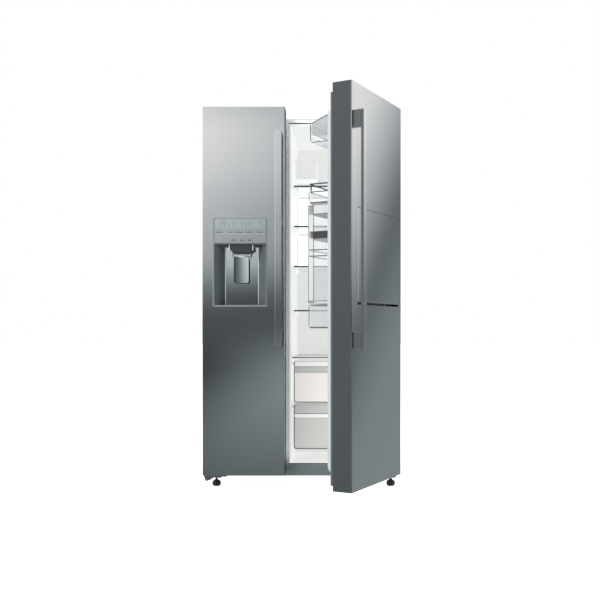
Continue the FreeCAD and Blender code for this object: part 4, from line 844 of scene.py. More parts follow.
def bins():
    """Door bins with soft corners, rims and moulded ribs, and the bottle bin's guard rail."""
    node, body = "door_bins", "fridge_door"
    x, y, z = spans(node)
    heights = levels(node, "z")
    low_bin, bottle_bin = (heights[0], heights[2]), (heights[3], heights[5])
    wall = 0.003
    trays = Shape()
    for tier in (bottle_bin, low_bin):
        trays.tray(x, y, tier, wall, 0.012)
        floor = tier[0] + wall
        for place in row(x, 10)[1:-1]:
            trays.block((place, place + 0.002), grown(y, -wall), (floor - 0.0005, floor + 0.0015), 0.0004)
    trays.done("door_bin_trays", body, "clear_plastic", CLEAR, replaces=node)
    inset, corner, start = 0.0035, 0.012, y[0] + 0.004
    (x0, x1), y1 = grown(x, -inset), y[1] - inset
    arc = [math.radians(22.5 * k) for k in range(5)]
    line = [(x0, start)]
    line += [(x0 + corner - corner * math.cos(a), y1 - corner + corner * math.sin(a)) for a in arc]
    line += [(x1 - corner + corner * math.sin(a), y1 - corner + corner * math.cos(a)) for a in arc]
    line += [(x1, start)]
    rail = Shape()
    for height, radius in (
        (z[1] - 0.0035, 0.0032), (bottle_bin[1] + 0.0005, 0.0024), (bottle_bin[0] + 0.002, 0.0024),
        (low_bin[1] - 0.001, 0.0026), (low_bin[0] + 0.003, 0.003),
    ):
        rail.sweep([(a, b, height) for a, b in line], radius)
    for post_x in (x0, x1):
        post_y = y[1] - corner
        rail.rod((post_x, post_y, bottle_bin[1] - 0.003), (post_x, post_y, z[1] - 0.003), 0.003)
    for edge_x in x:
        for base, rim in (bottle_bin, low_bin):
            edge_y, floor = y[1] - 0.004, base + 0.003
            rail.rod((edge_x, edge_y, base + 0.006), (edge_x, edge_y, rim - 0.002), 0.0013)
            rail.rod((edge_x, y[0] + 0.006, floor), (edge_x, y[1] - 0.008, floor), 0.0013)
    rail.done("door_bin_rails", body, "grey_plastic", RAIL)


def dairy():
    """Dairy box with sloping ends, its tray, deck and smoky lid."""
    x, y, z = spans("dairy_box")
    lid_x, lid_y, lid_z = spans("dairy_lid")
    pivot = DOOR.inverted() @ Vector(joint("dairy_lid_hinge")["pos_m"])
    wall, slope = 0.003, math.radians(21)
    top = pivot.z + 0.006
    drop = top - (y[1] - pivot.y) * math.tan(slope)
    chin = (y[1] - 0.006, z[0])
    side = [
        (y[0], z[0]), chin, (y[1], z[0] + 0.006), (y[1], drop - 0.006),
        (y[1] - 0.004, drop + 0.0008), (pivot.y, top), (y[0], top),
    ]
    shell = Shape()
    for end in ends(x, wall):
        shell.prism(side, "x", end, 0.0007)
    inside = grown(x, -wall)
    shell.tray(inside, (y[0], y[1] - 0.001), (z[0], z[0] + 0.028), wall, 0.008)
    shell.block(inside, (y[0], pivot.y - 0.006), (pivot.z - 0.003, pivot.z + 0.003), 0.0008)
    shell.done("dairy_box_moulded", "fridge_door", "clear_plastic", CLEAR, replaces="dairy_box", crease=30)

    ridge, heel = (pivot.y, top - 0.001), y[0] + 0.001
    middle = Vector(((y[0] + y[1]) / 2, (z[0] + top) / 2))
    edges = Shape()
    for wide in ends(grown(x, 0.0004), wall + 0.0008):
        for start, end in (
            ((heel, z[0]), chin), ((y[1], z[0] + 0.006), (y[1], drop - 0.006)),
            ((y[1] - 0.004, drop), ridge), (ridge, (heel, ridge[1])),
        ):
            along = (Vector(end) - Vector(start)).normalized()
            across = Vector((-along.y, along.x)) * 0.0026
            if (middle - Vector(start)).dot(across) < 0:
                across = -across
            far = [(a + across.x, b + across.y) for a, b in (end, start)]
            edges.prism([start, end, *far], "x", wide)
    edges.done("dairy_box_edges", "fridge_door", "grey_plastic", RAIL)

    wide = grown(lid_x, -0.004)
    run, rise = math.cos(slope), math.sin(slope)
    long, thick, steps = 0.079, 0.003, 8
    roof = []
    for t in (i / steps for i in range(steps + 1)):
        bow = 0.0016 * math.sin(math.pi * t)
        roof.append((pivot.y + long * t * run + bow * rise, pivot.z - long * t * rise + bow * run))
    outer = [(a + thick * rise, b + thick * run) for a, b in roof]
    front, flap = lid_y[1], lid_z[0]
    brow = outer[-1][1]
    outer[-1] = (front - 0.002, brow)
    profile = outer + [
        (front, brow - 0.003), (front, flap + 0.001), (front - 0.001, flap),
        (front - thick + 0.001, flap), (front - thick, flap + 0.001), (front - thick, roof[-1][1] - 0.004),
    ] + roof[-2::-1]
    lid = Shape().prism(profile, "x", wide)
    lid.rod((lid_x[0], pivot.y, pivot.z), (lid_x[1], pivot.y, pivot.z), 0.003)
    lid.block(grown(wide, -0.13), (front - 0.004, front), (flap, flap + 0.006), 0.001)
    lid.done("dairy_lid_moulded", "dairy_lid", "smoke_plastic", SMOKE, replaces="dairy_lid", crease=30)


def home_bar_box():
    """Housing behind the home bar: clear walls, grey posts, dark tray and wire guards."""
    node, body = "home_bar_housing", "fridge_door"
    x, y, z = spans(node)
    wall = 0.003
    depth = (y[0], y[1] - wall)
    walls = Shape()
    for end in ends(x, wall):
        walls.block(end, depth, z, 0.0008)
    walls.block(x, (depth[1], y[1]), z, 0.001)
    for end in ends(z, wall):
        walls.block(grown(x, -wall), depth, end, 0.0008)
    walls.done("home_bar_box", body, "clear_plastic", CLEAR, replaces=node)
    tray_front = y[0] + 0.012
    tray_z = spans(node, lambda place: abs(place.y - tray_front) < 0.0003)[2]
    shelf = Shape().tray(grown(x, 0.0003), (tray_front, y[1] + 0.0001), tray_z, 0.0035, 0.006)
    shelf.done("home_bar_tray", body, "dark_plastic", TRAY_PAINT)
    posts = Shape()
    long, head = (y[0] + 0.001, y[1] - 0.0005), (z[1] - 0.040, z[1] - 0.0005)
    for left in (x[0] - 0.0003, x[1] - 0.0157):
        post_x = (left, left + 0.0036)
        posts.block(post_x, (y[1] - 0.026, y[1] - 0.0005), grown(z, -0.001), 0.0012)
        posts.block(post_x, long, head, 0.0012)
        posts.block(post_x, long, (z[0] + 0.0005, z[0] + 0.010), 0.0012)
    posts.block(x, (y[1] - 0.003, y[1] + 0.0002), head, 0.001)
    line, thin = 0.0018, 0.0009
    for edge_x in x:
        wide = (edge_x - thin, edge_x + thin)
        for near in (y[1] - 0.0018, y[1] - 0.0275):
            posts.block(wide, (near, near + line), grown(z, -0.002), 0, 1)
        for level in (z[0] + 0.010, z[1] - 0.0418, z[1] - 0.0022):
            posts.block(wide, grown(y, -0.002), (level, level + line), 0, 1)
    posts.done("home_bar_posts", body, "white_plastic", POST, RAIL)
    guards = Shape()
    half = [(x[0] - 0.0005, y[0] + 0.06), (x[0] - 0.0005, y[1] - 0.008), (x[0] + 0.006, y[1] - 0.0015)]
    loop = half + [(x[0] + x[1] - a, b) for a, b in reversed(half)]
    for height in (tray_z[0] - 0.048, tray_z[0] - 0.075):
        guards.sweep([(a, b, height) for a, b in loop], 0.0022)
    guards.done("home_bar_guards", body, "grey_plastic", RAIL)


def fridge_front():
    front_x, _, front_z = spans("home_bar_front")
    window = (grown(front_x, 0.002), (front_z[0] - 0.010, front_z[1] + 0.002))
    seal_x, seal_y, seal_z = spans("home_bar_gasket")
    lap = 0.010
    door_front("fridge", window, hole=(grown(seal_x, -lap), grown(seal_z, -lap)), seat=seal_y[1])
    home_bar_panel()
    home_bar_channel(window)
    home_bar_plug()
    bins()
    dairy()
    home_bar_box()


def freezer_front():
    x, _, z = spans("dispenser_housing")
    door_front("freezer", (grown(x, -0.002), grown(z, -0.002)))
    dispenser()
    control_panel()
    nozzle()
    paddle()


# ------------------------------------------------------------------ cabinet


def ease_cad_nodes():
    """Small rounded edges on the CAD nodes that stay in sight."""
    for node in (
        "front_frame", "side_panel_left", "side_panel_right", "top_panel", "base_pan", "fridge_liner",
        "freezer_liner", "top_hinges", "shelf_glass", "evaporator_cover", "ice_maker",
        "crisper_runners", "drain_pan",
    ):
        ease = NODES[node].modifiers.new("ease", "BEVEL")
        ease.width = 0.0004
        ease.segments = 2
        ease.limit_method = "ANGLE"
        ease.angle_limit = math.radians(40)


def shelf_trims():
    """Each shelf's dark front bar and its light side and back rails, which glow as painted light."""
    node = "shelf_trims"
    x, y, z = spans(node)
    bar_deep, bar_tall, rail_wide, rail_tall = 0.008, 0.006, 0.010, 0.009
    front, rails = Shape(), Shape()
    for top in levels("shelf_glass", "z")[1::2][::-1]:
        base, back = top - bar_tall, y[0] + bar_deep
        front.block(x, (y[0], back), (base + 0.001, top + 0.001), 0.0016)
        front.block(grown(x, -0.004), (y[0] + 0.002, y[0] + 0.012), (base, base + 0.002), 0.0006)
        for edge in ends(x, rail_wide):
            rails.block(edge, (back, y[1] - 0.002), (top - rail_tall, top - 0.0041), 0.001)
            rails.block(edge, (back + 0.001, y[1] - 0.002), (top - 0.0002, top + 0.001), 0.0005)
        rails.block(x, (y[1] - 0.006, y[1]), (top - rail_tall, top + 0.001), 0.0014)
    front.done("shelf_front_bars", "cabinet", "trim_plastic", TRIM, replaces=node)
    rails.done("shelf_rails", "cabinet", "white_plastic", GLOWING_PLASTIC)


def crisper_top():
    """Glass cover over the crispers, in a white frame with a dark front edge."""
    node = "crisper_cover"
    x, y, z = spans(node)
    edge, line = 0.012, z[1] - 0.0045
    front = y[0] + edge
    trim = Shape().block(x, (y[0], front), (line, z[1]), 0.0014)
    # Painted light: the white strip under the dark front edge glows.
    trim.block(x, (y[0] + 0.0004, front), (z[0], line + 0.0005), 0.0014, slot=1)
    trim.done("crisper_cover_edge", "cabinet", "trim_plastic", TRIM, GLOWING_PLASTIC, replaces=node)
    pane = Shape().block(grown(x, -edge), grown(y, -edge), (z[0] + 0.002, z[1] - 0.0015), 0.0004)
    pane.done("crisper_cover_pane", "cabinet", "shelf_glass", COVER_GLASS)
    bars = Shape()
    for side in ends(x, edge):
        bars.block(side, (front, y[1]), z, 0.0012)
    bars.block(grown(x, -edge), (y[1] - edge, y[1]), z, 0.0012)
    bars.done("crisper_cover_frame", "cabinet", "white_plastic", WHITE_PLASTIC)


def crisper(node, wall_paint, grip_paint, strip_paint):
    """Frosted drawer with a rolled rim, ribs on its floor and a grip on its front; a dark outline and lines
    on the front are painted shade at its edges and joints, and the grip and a thin front strip glow as
    painted light.
    """
    x, y, z = spans(node)
    grip = spans(node, lambda place: place.y < y[0] + 0.0005)[2]
    front = levels(node, "y")[1]
    rim = 0.004
    inner = grown(x, -rim)
    drawer = Shape().tray(inner, (front + 0.0006, y[1] - rim), z, 0.003, 0.014, lip=rim - 0.0006)
    for rib_x in row(inner, 10)[1:-1]:
        rib_z = (z[0] + 0.0025, z[0] + 0.0045)
        drawer.block((rib_x, rib_x + 0.002), (front + 0.01, y[1] - 0.015), rib_z, 0.0006)
    drawer.done(node + "_drawer", node, "clear_plastic", wall_paint, replaces=node)
    band = Shape().block(grown(inner, -0.004), (y[0], front + 0.0012), grip, 0.0022, segments=4)
    lip_z = (grip[0] - 0.003, grip[0] + 0.001)
    band.block(grown(inner, -0.010), (y[0] + 0.0006, front + 0.001), lip_z, 0.0008)
    band.done(node + "_grip", node, "clear_plastic", grip_paint)
    flat = (front + 0.0001, front + 0.0008)
    # Painted shade: a dark ring round the front and dark lines by the grip stand in for the shade at the
    # drawer's edges and joints.
    outline = Shape().frame(
        (grown(inner, -0.001), grown(z, -0.001)), (grown(inner, -0.0046), grown(z, -0.0048)),
        flat, (0.012, 0.010), 0.0002,
    )
    for line in (grip[0] - 0.0045, grip[1] + 0.001):
        outline.block(grown(inner, -0.004), flat, (line, line + 0.002), 0)
    outline.done(node + "_outline", node, "clear_plastic", RAIL)
    # Painted light: a thin glowing sheet laid on the front above the grip.
    strip = Shape().block(grown(inner, -0.006), (front, front + 0.0005), (grip[1] + 0.004, z[1] - 0.006), 0)
    strip.done(node + "_strip", node, "clear_plastic", strip_paint)


def air_duct():
    """Rounded cover over the cold air duct, with a raised panel, an outlet slot and its vanes; the cover
    and vanes glow as painted light.
    """
    node, slot = "air_duct_cover", "white_plastic"
    x, y, z = spans(node)
    slot_z = [level for level in levels(node, "z") if z[0] + 0.001 < level < z[1] - 0.02][:2]
    slot_x = (x[0] + 0.011, x[1] - 0.032)
    cover = Shape().block(x, (y[0] + 0.004, y[1]), z, 0.006, segments=5)
    cover.frame(
        (grown(x, -0.004), grown(z, -0.004)), (grown(x, -0.009), (slot_z[1] + 0.008, z[1] - 0.009)),
        (y[0], y[0] + 0.006), (0.006, 0.004), 0.0015,
    )
    cover.done("air_duct_body", "cabinet", slot, GLOWING_PLASTIC, replaces=node)
    outlet = Shape().block(slot_x, (y[0] + 0.0005, y[0] + 0.008), slot_z, 0.002)
    outlet.done("air_duct_slit", "cabinet", slot, WHITE_PLASTIC)
    vanes = Shape()
    for vane_x in row(slot_x, 7)[1:-1]:
        vanes.block((vane_x, vane_x + 0.0015), (y[0], y[0] + 0.006), grown(slot_z, -0.001), 0.0005)
    vanes.done("air_duct_vanes", "cabinet", slot, GLOWING_PLASTIC)


def wall_ladders():
    """Slotted ribs up both side walls, which the shelves hang on; they glow as painted light."""
    _, shelf_y, shelf_z = spans("shelf_trims")
    cover_x, _, cover_z = spans("crisper_cover")
    pitch, tall, deep = 0.026, 0.014, 0.008
    ladders = Shape()
    for wall_x, inward in ((cover_x[0] + 0.0006, 1), (cover_x[1] - 0.0006, -1)):
        for share in (0.35, 0.82):
            y = shelf_y[0] + share * (shelf_y[1] - shelf_y[0])
            rib = sorted((wall_x, wall_x + inward * 0.0024))
            z = cover_z[1] + 0.04
            while z < shelf_z[1] + 0.20:
                ladders.block(rib, (y, y + deep), (z, z + tall), 0.0009)
                z += pitch
            strip = sorted((wall_x, wall_x + inward * 0.001))
            strip_z = (cover_z[1] + 0.03, shelf_z[1] + 0.21)
            ladders.block(strip, grown((y, y + deep), 0.004), strip_z, 0.0004)
    ladders.done("wall_ladders", "cabinet", "white_plastic", GLOWING_PLASTIC)


def opening_line():
    """Dark ring between the steel frame and the fridge's liner: painted shade for the shadow gap there."""
    node = "fridge_liner"
    front = spans(node)[1][0]
    x, _, z = spans(node, lambda place: place.y < front + 0.001)
    line = Shape().frame(
        (grown(x, 0.0002), grown(z, 0.0002)), (grown(x, -0.0012), grown(z, -0.0052)),
        (front - 0.0004, front + 0.002), (0.003, 0.002), 0.0002,
    )
    line.done("opening_line", "cabinet", "dark_plastic", RAIL)


def light():
    x, y, z = spans("light_panel")
    lens = Shape().block(grown(x, -0.002), y, grown(z, -0.002), 0.0012)
    lens.done("light_lens", "cabinet", "lamp_diffuser", DIFFUSER, replaces="light_panel")


def front_feet():
    """Levelling feet: thick rubber pad with rounded edges, hex collar and threaded stud."""
    pad, pitch = 0.026, 0.0016
    for node in ("foot_left", "foot_right"):
        x, y, z = spans(node)
        centre = Vector(((x[0] + x[1]) / 2, (y[0] + y[1]) / 2, 0))
        reach = (x[1] - x[0]) / 2
        foot = Shape()
        foot.lathe((
            (reach - 0.007, 0), (reach - 0.004, 0.0015), (reach - 0.0015, 0.005), (reach, 0.010),
            (reach, 0.019), (reach - 0.0015, 0.0228), (reach - 0.005, 0.0255), (0.010, pad), (0.008, pad),
        ), centre, sides=48)
        foot.lathe((
            (0.0085, pad - 0.0005), (0.009, pad), (0.009, pad + 0.005), (0.0082, pad + 0.006),
            (0.005, pad + 0.0063),
        ), centre, sides=6)
        thread = [(0.0046, pad + 0.006)]
        height = pad + 0.007
        while height < z[1] - pitch:
            thread += [(0.0044, height), (0.005, height + pitch / 2)]
            height += pitch
        foot.lathe(thread + [(0.0044, z[1])], centre, sides=20)
        foot.done(node + "_pad", node, "black_plastic", BLACK_PLASTIC, replaces=node)


def hinge_brackets():
    """Brackets under the doors: shelf, sloping skirt and pin. Only the left skirt has a tab."""
    node, sheet, eased = "bottom_hinges", 0.005, 0.0009
    bolt = ((0.001, -0.0022), (0.0045, -0.0018), (0.0055, -0.0004), (0.0055, 0.0004))
    plates = Shape()
    for side, hinge in ((-1, "freezer_door_hinge"), (1, "fridge_door_hinge")):
        x, y, z = spans(node, lambda place: place.x * side > 0)
        front_z = spans(node, lambda place: place.x * side > 0 and place.y < y[0] + 0.0005)[2]
        wall_z = spans(node, lambda place: place.x * side > 0 and place.y > y[1] - 0.0005)[2]
        tip = spans(node, lambda place: place.x > 0 and place.y < y[0] + 0.0005)[2][0]
        inner, outer = x if side > 0 else x[::-1]
        shelf = (front_z[1] - sheet, front_z[1])
        under = shelf[0] + eased
        plates.prism([
            (inner, y[1]), (inner + side * 0.004, y[0] + 0.030), (inner + side * 0.018, y[0]),
            (outer - side * 0.010, y[0]), (outer, y[0] + 0.010), (outer, y[1]),
        ], "z", shelf, eased)
        skirt = [(inner + side * 0.007, under), (inner + side * 0.015, tip)]
        if side < 0:
            skirt += [
                (outer + 0.045, tip), (outer + 0.030, front_z[0] + 0.005),
                (outer + 0.0164, front_z[0]), (outer + 0.0084, front_z[0]),
            ]
        else:
            skirt += [(outer - 0.006, tip)]
        plates.prism(skirt + [(outer, under)], "y", (y[0] + 0.001, y[0] + 0.009), eased)
        wall_y = y[1] - sheet
        plates.block(x, (wall_y, y[1]), wall_z, eased)
        for share in (0.25, 0.75):
            spot = Vector((inner + share * (outer - inner), wall_y, (shelf[1] + wall_z[1]) / 2))
            plates.lathe(bolt, spot, "y", 24, slot=1)
        pin = Vector((*joint(hinge)["pos_m"][:2], 0))
        collar = shelf[1] + 0.0012
        for profile in (
            ((0.006, shelf[0]), (0.006, z[1] - 0.001), (0.005, z[1])),
            ((0.009, shelf[0]), (0.009, collar), (0.008, collar + 0.0005)),
        ):
            plates.lathe(profile, pin, sides=28, slot=1)
    plates.done("bottom_hinge_plates", "cabinet", "hinge_steel", BRACKET, HINGE_STEEL, replaces=node)


def hinge_caps():
    """Rounded covers over the top hinges, each with a screw."""
    node = "hinge_covers"
    screw = ((0.0045, 0), (0.0045, 0.0008), (0.0035, 0.0015), (0.001, 0.0016))
    middle = sum(spans(node)[0]) / 2
    caps = Shape()
    for side in (-1, 1):
        x, y, z = spans(node, lambda place: (place.x - middle) * side > 0)
        caps.block(x, y, (z[0], z[1] - 0.006), 0.004, segments=4)
        caps.block(grown(x, -0.006), grown(y, -0.006), (z[1] - 0.012, z[1] - 0.001), 0.005, segments=4)
        caps.lathe(screw, Vector((sum(x) / 2, y[1] - 0.022, z[1] - 0.0016)), sides=24, slot=1)
    caps.done("hinge_cover_caps", "cabinet", "grey_plastic", GREY_PLASTIC, HINGE_STEEL, replaces=node)


def screws(shape, across, y, heights):
    """Screw heads on the back, one at each place across and each height."""
    head = ((0.005, 0), (0.005, 0.0004), (0.0038, 0.0009), (0.001, 0.00095))
    for x in across:
        for z in heights:
            shape.lathe(head, Vector((x, y, z)), "y", 20, slot=1)


def back_sheet():
    """Pressed back panel with raised fields and screws along its top and bottom."""
    node = "back_panel"
    x, y, z = spans(node)
    sheet = Shape().block(x, (y[0], y[0] + 0.0011), z, 0.0003)
    border, columns, rows = 0.022, 3, 4
    wide = (x[1] - x[0] - border * (columns + 1)) / columns
    tall = (z[1] - z[0] - border * (rows + 1)) / rows
    for i in range(columns):
        for j in range(rows):
            left = x[0] + border + i * (wide + border)
            base = z[0] + border + j * (tall + border)
            field = (y[0] + 0.0008, y[1] - 0.0001)
            sheet.block((left, left + wide), field, (base, base + tall), 0.0008)
    screws(sheet, row(grown(x, -0.012), 7), y[0] + 0.001, grown(z, -border / 2))
    sheet.done("back_panel_pressed", "cabinet", "zinc_sheet", ZINC, HINGE_STEEL, replaces=node)


def louvred_cover():
    """Machine room cover: a frame round two banks of slanted louvres."""
    node = "machine_room_cover"
    x, y, z = spans(node)
    y = (y[0], y[1] - 0.0008)
    inside_x, inside_z = (
        [level for level in levels(node, axis) if span[0] + 0.005 < level < span[1] - 0.005]
        for axis, span in (("x", x), ("z", z))
    )
    bank_z = (inside_z[0], inside_z[-1])
    half = len(inside_x) // 2
    banks = ((inside_x[0], inside_x[half - 1]), (inside_x[half], inside_x[-1]))
    cover = Shape()
    for strip in ((z[0], bank_z[0]), (bank_z[1], z[1])):
        cover.block(x, y, strip, 0.0004)
    for upright in ((x[0], banks[0][0]), (banks[0][1], banks[1][0]), (banks[1][1], x[1])):
        cover.block(upright, y, grown(bank_z, 0.0005), 0.0004)
    count = 14
    pitch = (bank_z[1] - bank_z[0]) / count
    for bank in banks:
        for i in range(count):
            base = bank_z[0] + i * pitch
            slat = [
                (y[0], base + pitch * 0.1), (y[1], base + pitch * 0.0005 + 0.0008),
                (y[1], base + pitch * 0.55), (y[0], base + pitch * 0.65),
            ]
            cover.prism(slat, "x", grown(bank, 0.0005))
    screws(cover, row(grown(x, -0.014), 5), y[1] - 0.0002, grown(z, -0.01))
    cover.done("machine_room_louvres", "cabinet", "zinc_sheet", ZINC, HINGE_STEEL, replaces=node)


def wire_racks():
    """Freezer shelves of round wire: wires from front to back on cross bars."""
    node = "freezer_shelves"
    x, y, z = spans(node)
    radius = 0.0023
    racks = Shape()
    for top in levels(node, "z")[1::2]:
        height = top - radius - 0.0004
        for wire_x in row(grown(x, -0.006), 13):
            start, end = ((wire_x, at, height) for at in grown(y, -radius))
            racks.rod(start, end, radius, sides=8)
        for share in (0.012, 0.5, 0.985):
            bar_y = y[0] + share * (y[1] - y[0])
            start, end = ((at, bar_y, height - 0.0016) for at in x)
            racks.rod(start, end, 0.0022, sides=8)
    racks.done("freezer_wire_racks", "cabinet", "white_wire", WIRE, replaces=node)


def freezer_drawers():
    """Clear baskets with rims, and a finger rail on each front."""
    node = "freezer_baskets"
    x, y, z = spans(node)
    middle = sum(z) / 2
    edges = levels(node, "z")
    upper_from = min(level for level in edges if level > middle)
    lower_to = max(level for level in edges if level < middle)
    baskets = Shape()
    for tier in ((z[0], lower_to), (upper_from, z[1])):
        deepest = spans(node, lambda place: tier[0] - 0.001 < place.z < tier[1] + 0.001)[1][1]
        baskets.tray(grown(x, -0.003), (y[0] + 0.003, deepest - 0.003), tier, 0.0025, 0.010, lip=0.003)
        rail_z = (tier[1] - 0.028, tier[1] - 0.012)
        baskets.block(grown(x, -0.05), (y[0] + 0.0005, y[0] + 0.004), rail_z, 0.0016)
    baskets.done("freezer_basket_trays", "cabinet", "clear_plastic", CLEAR, replaces=node)


def freezer_bins():
    """Clear bins on the freezer door."""
    node = "freezer_door_bins"
    edges = levels(node, "z")
    gap, tallest = 0.12, 0.16
    bases = [b for a, b in zip([edges[0] - 1] + edges, edges) if b - a > gap]
    trays = Shape()
    for base in bases:
        rim = max(level for level in edges if level < base + tallest)
        x, y, _ = spans(node, lambda place: base - 0.001 < place.z < rim + 0.001)
        trays.tray(x, y, (base, rim), 0.003, 0.010)
    trays.done("freezer_bin_trays", "freezer_door", "clear_plastic", CLEAR, replaces=node)


def cabinet():
    ease_cad_nodes()
    shelf_trims()
    crisper_top()
    crisper("upper_crisper", FROST, FROST_DARK, GLOWING_PLASTIC)
    crisper("lower_crisper", FROST_GREY, GLOWING_PLASTIC, FROST_DARK)
    air_duct()
    wall_ladders()
    light()
    opening_line()
    front_feet()
    hinge_brackets()
    hinge_caps()
    back_sheet()
    louvred_cover()
    wire_racks()
    freezer_drawers()
    freezer_bins()
    seal("home_bar_gasket", "home_bar_door", HOME_BAR_SEAL, 0.008)


# ------------------------------------------------------------------ stage


# brightness of the studio from the left to the right in front of the doors
SIDE_BANDS = ((-0.6, 1.3), (-0.2, 1.0), (0.0, 1.0), (0.2, 0.7), (0.5, 0.25))
# brightness of the studio against height over distance, in front and behind
FRONT_BANDS = (
    (-0.30, 0.17), (-0.171, 0.187), (-0.147, 0.229), (-0.122, 0.266), (-0.09, 0.315), (-0.049, 0.276),
    (-0.025, 0.200), (-0.002, 0.112), (0.024, 0.100), (0.048, 0.185), (0.084, 0.42), (0.121, 0.50),
    (0.151, 0.55), (0.194, 0.72), (0.242, 0.82), (0.267, 0.72), (0.30, 0.62), (0.42, 0.8),
)
REAR_BANDS = (
    (-0.30, 0.32), (-0.15, 0.307), (-0.10, 0.266), (-0.073, 0.245), (-0.036, 0.180), (0.0, 0.148),
    (0.035, 0.232), (0.07, 0.365), (0.108, 0.515), (0.144, 0.630), (0.18, 0.775), (0.21, 0.897),
    (0.25, 1.0), (0.42, 1.0),
)
HEIGHTS = (-0.30, 0.42)  # ends of both height scales
NEAREST = 0.05  # keeps the divisions below away from nought
COOL, WARM = (0.86, 0.975, 1.01, 1), (1.06, 1.0, 0.985, 1)  # tints of the dark and bright bands


class Sums:
    """Short hand for the arithmetic nodes of the studio's sky."""

    def __init__(self, tree):
        self.tree = tree

    def plug(self, value, socket):
        if isinstance(value, (int, float, tuple)):
            socket.default_value = value
        else:
            self.tree.links.new(value, socket)

    def math(self, operation, *values, clamp=False):
        node = self.tree.nodes.new("ShaderNodeMath")
        node.operation = operation
        node.use_clamp = clamp
        for value, socket in zip(values, node.inputs):
            self.plug(value, socket)
        return node.outputs[0]

    def add(self, a, b):
        return self.math("ADD", a, b)

    def times(self, a, b, clamp=False):
        return self.math("MULTIPLY", a, b, clamp=clamp)

    def over(self, a, b):
        return self.math("DIVIDE", a, b)

    def within(self, value, low, high):
        return self.math("MAXIMUM", self.math("MINIMUM", value, high), low)

    def mix(self, factor, a, b, blend="MIX"):
        node = self.tree.nodes.new("ShaderNodeMix")
        node.data_type = "RGBA"
        node.blend_type = blend
        for value, socket in ((factor, "Factor"), (a, "A"), (b, "B")):
            self.plug(value, node.inputs[socket])
        return node.outputs["Result"]

    def ramp(self, source, reach, stops):
        """Brightness along a scale between two ends."""
        ranged = self.tree.nodes.new("ShaderNodeMapRange")
        ranged.inputs["From Min"].default_value = reach[0]
        ranged.inputs["From Max"].default_value = reach[1]
        self.plug(source, ranged.inputs["Value"])
        ramp = self.tree.nodes.new("ShaderNodeValToRGB")
        self.plug(ranged.outputs["Result"], ramp.inputs["Fac"])
        line = ramp.color_ramp
        while len(line.elements) < len(stops):
            line.elements.new(0.5)
        for element, (place, level) in zip(line.elements, stops):
            element.position = (place - reach[0]) / (reach[1] - reach[0])
            element.color = (level, level, level, 1)
        return ramp.outputs["Color"]


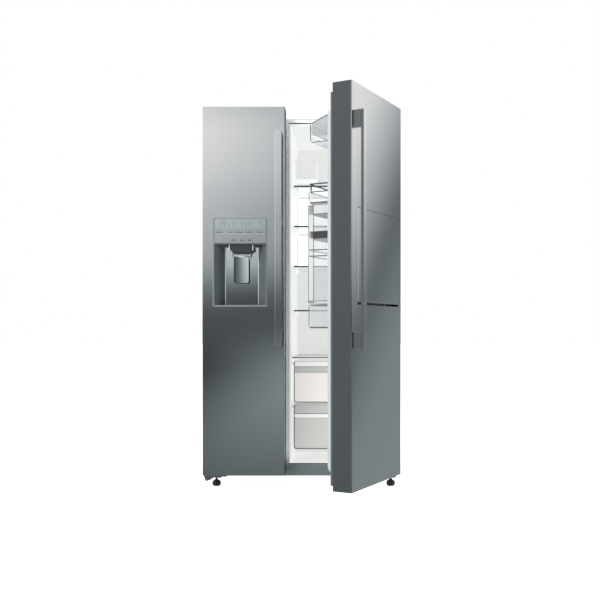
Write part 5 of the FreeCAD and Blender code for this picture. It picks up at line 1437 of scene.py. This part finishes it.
def world():
    """Studio of soft bright and dark bands, which the steel doors mirror, and white to the camera."""
    sky = bpy.data.worlds.new("studio")
    sky.use_nodes = True
    bpy.context.scene.world = sky
    tree = sky.node_tree
    sums = Sums(tree)
    split = tree.nodes.new("ShaderNodeSeparateXYZ")
    tree.links.new(tree.nodes.new("ShaderNodeTexCoord").outputs["Generated"], split.inputs[0])
    x, y, z = split.outputs

    # in front: bands that lean with the place from side to side, lower down, and fade across
    ahead = sums.math("MAXIMUM", sums.times(y, -1.0), NEAREST)
    side, height = sums.over(x, ahead), sums.over(z, ahead)
    from_middle = sums.add(side, 0.09)
    below = sums.times(height, -20.0, clamp=True)
    leant = sums.math("SUBTRACT", height, sums.times(sums.times(from_middle, 0.63), below))
    bands = sums.ramp(leant, HEIGHTS, FRONT_BANDS)
    leftward = sums.within(sums.over(from_middle, -0.079), -0.8, 1.5)
    upper = sums.times(sums.add(height, 0.04), 12.0, clamp=True)
    slope = sums.add(sums.times(upper, 0.62), -0.36)
    gain = sums.add(sums.times(slope, leftward), 1.0)
    front = sums.times(bands, sums.times(gain, sums.ramp(side, (-0.8, 0.8), SIDE_BANDS)))

    # behind: bands that drift upwards with the direction
    reach = sums.math("SQRT", sums.add(sums.times(x, x), sums.times(y, y)))
    reach = sums.math("MAXIMUM", reach, NEAREST)
    drift = sums.within(sums.times(sums.add(sums.over(y, reach), -0.599), 3.7), -0.05, 0.20)
    rear = sums.ramp(sums.math("SUBTRACT", sums.over(z, reach), drift), HEIGHTS, REAR_BANDS)

    grey = sums.mix(sums.math("GREATER_THAN", y, 0.0), front, rear)
    tinted = sums.mix(1, grey, sums.mix(grey, COOL, WARM), "MULTIPLY")
    to_camera = tree.nodes.new("ShaderNodeLightPath").outputs["Is Camera Ray"]
    seen = sums.mix(to_camera, tinted, (1, 1, 1, 1))
    tree.links.new(seen, tree.nodes["Background"].inputs["Color"])


def lamp(name, place, aim, size, power):
    """Soft rectangular lamp that lights the part but is never seen or mirrored."""
    data = bpy.data.lights.new(name, "AREA")
    data.shape = "RECTANGLE"
    data.size, data.size_y = size
    data.energy = power
    made = bpy.data.objects.new(name, data)
    made.location = place
    made.rotation_euler = (Vector(aim) - Vector(place)).to_track_quat("-Z", "Y").to_euler()
    made.visible_glossy = False
    made.visible_camera = False
    bpy.context.collection.objects.link(made)


def floor():
    mesh = bpy.data.meshes.new("floor")
    reach = 40
    corner = [(-reach, -reach, 0), (reach, -reach, 0), (reach, reach, 0), (-reach, reach, 0)]
    mesh.from_pydata(corner, [], [(0, 1, 2, 3)])
    plane = bpy.data.objects.new("floor", mesh)
    paint = Paint("floor_paint", Roughness=0.9, Emission_Strength=0.8)
    paint.tint(paint.noise(0.4), (0.90, 0.90, 0.90), (0.92, 0.92, 0.92))
    paint.shader.inputs["Emission Color"].default_value = (1, 1, 1, 1)
    plane.data.materials.append(paint.material)
    plane.visible_glossy = False
    bpy.context.collection.objects.link(plane)


def camera():
    """Level camera 0.75 m above the floor, a little right of the middle."""
    data = bpy.data.cameras.new("camera")
    data.sensor_width = 36
    data.lens = 49.4
    data.shift_x = -0.075
    data.shift_y = 0.049
    made = bpy.data.objects.new("camera", data)
    made.location = (0.2015, -3.988, 0.753)
    made.rotation_euler = (math.radians(90), 0, 0)
    bpy.context.collection.objects.link(made)
    bpy.context.scene.camera = made


def studio():
    world()
    floor()
    camera()
    lamp("key", (-2.5, -3.5, 3.6), (0, 0, 0.9), (3, 2), 150)
    lamp("fill", (3.5, -2.5, 2.6), (0.2, -0.2, 0.9), (2, 2), 80)
    lamp("top", (0, 0.5, 4.5), (0, 0, 0), (4, 4), 140)
    lamp("cold_room_back", (0.24, 0.10, 0.92), (0.16, 0.5, 0.92), (0.25, 1.5), 0.8)
    bpy.context.scene.view_settings.view_transform = "Standard"


paint_cad_nodes()
freezer_front()
fridge_front()
cabinet()
studio()
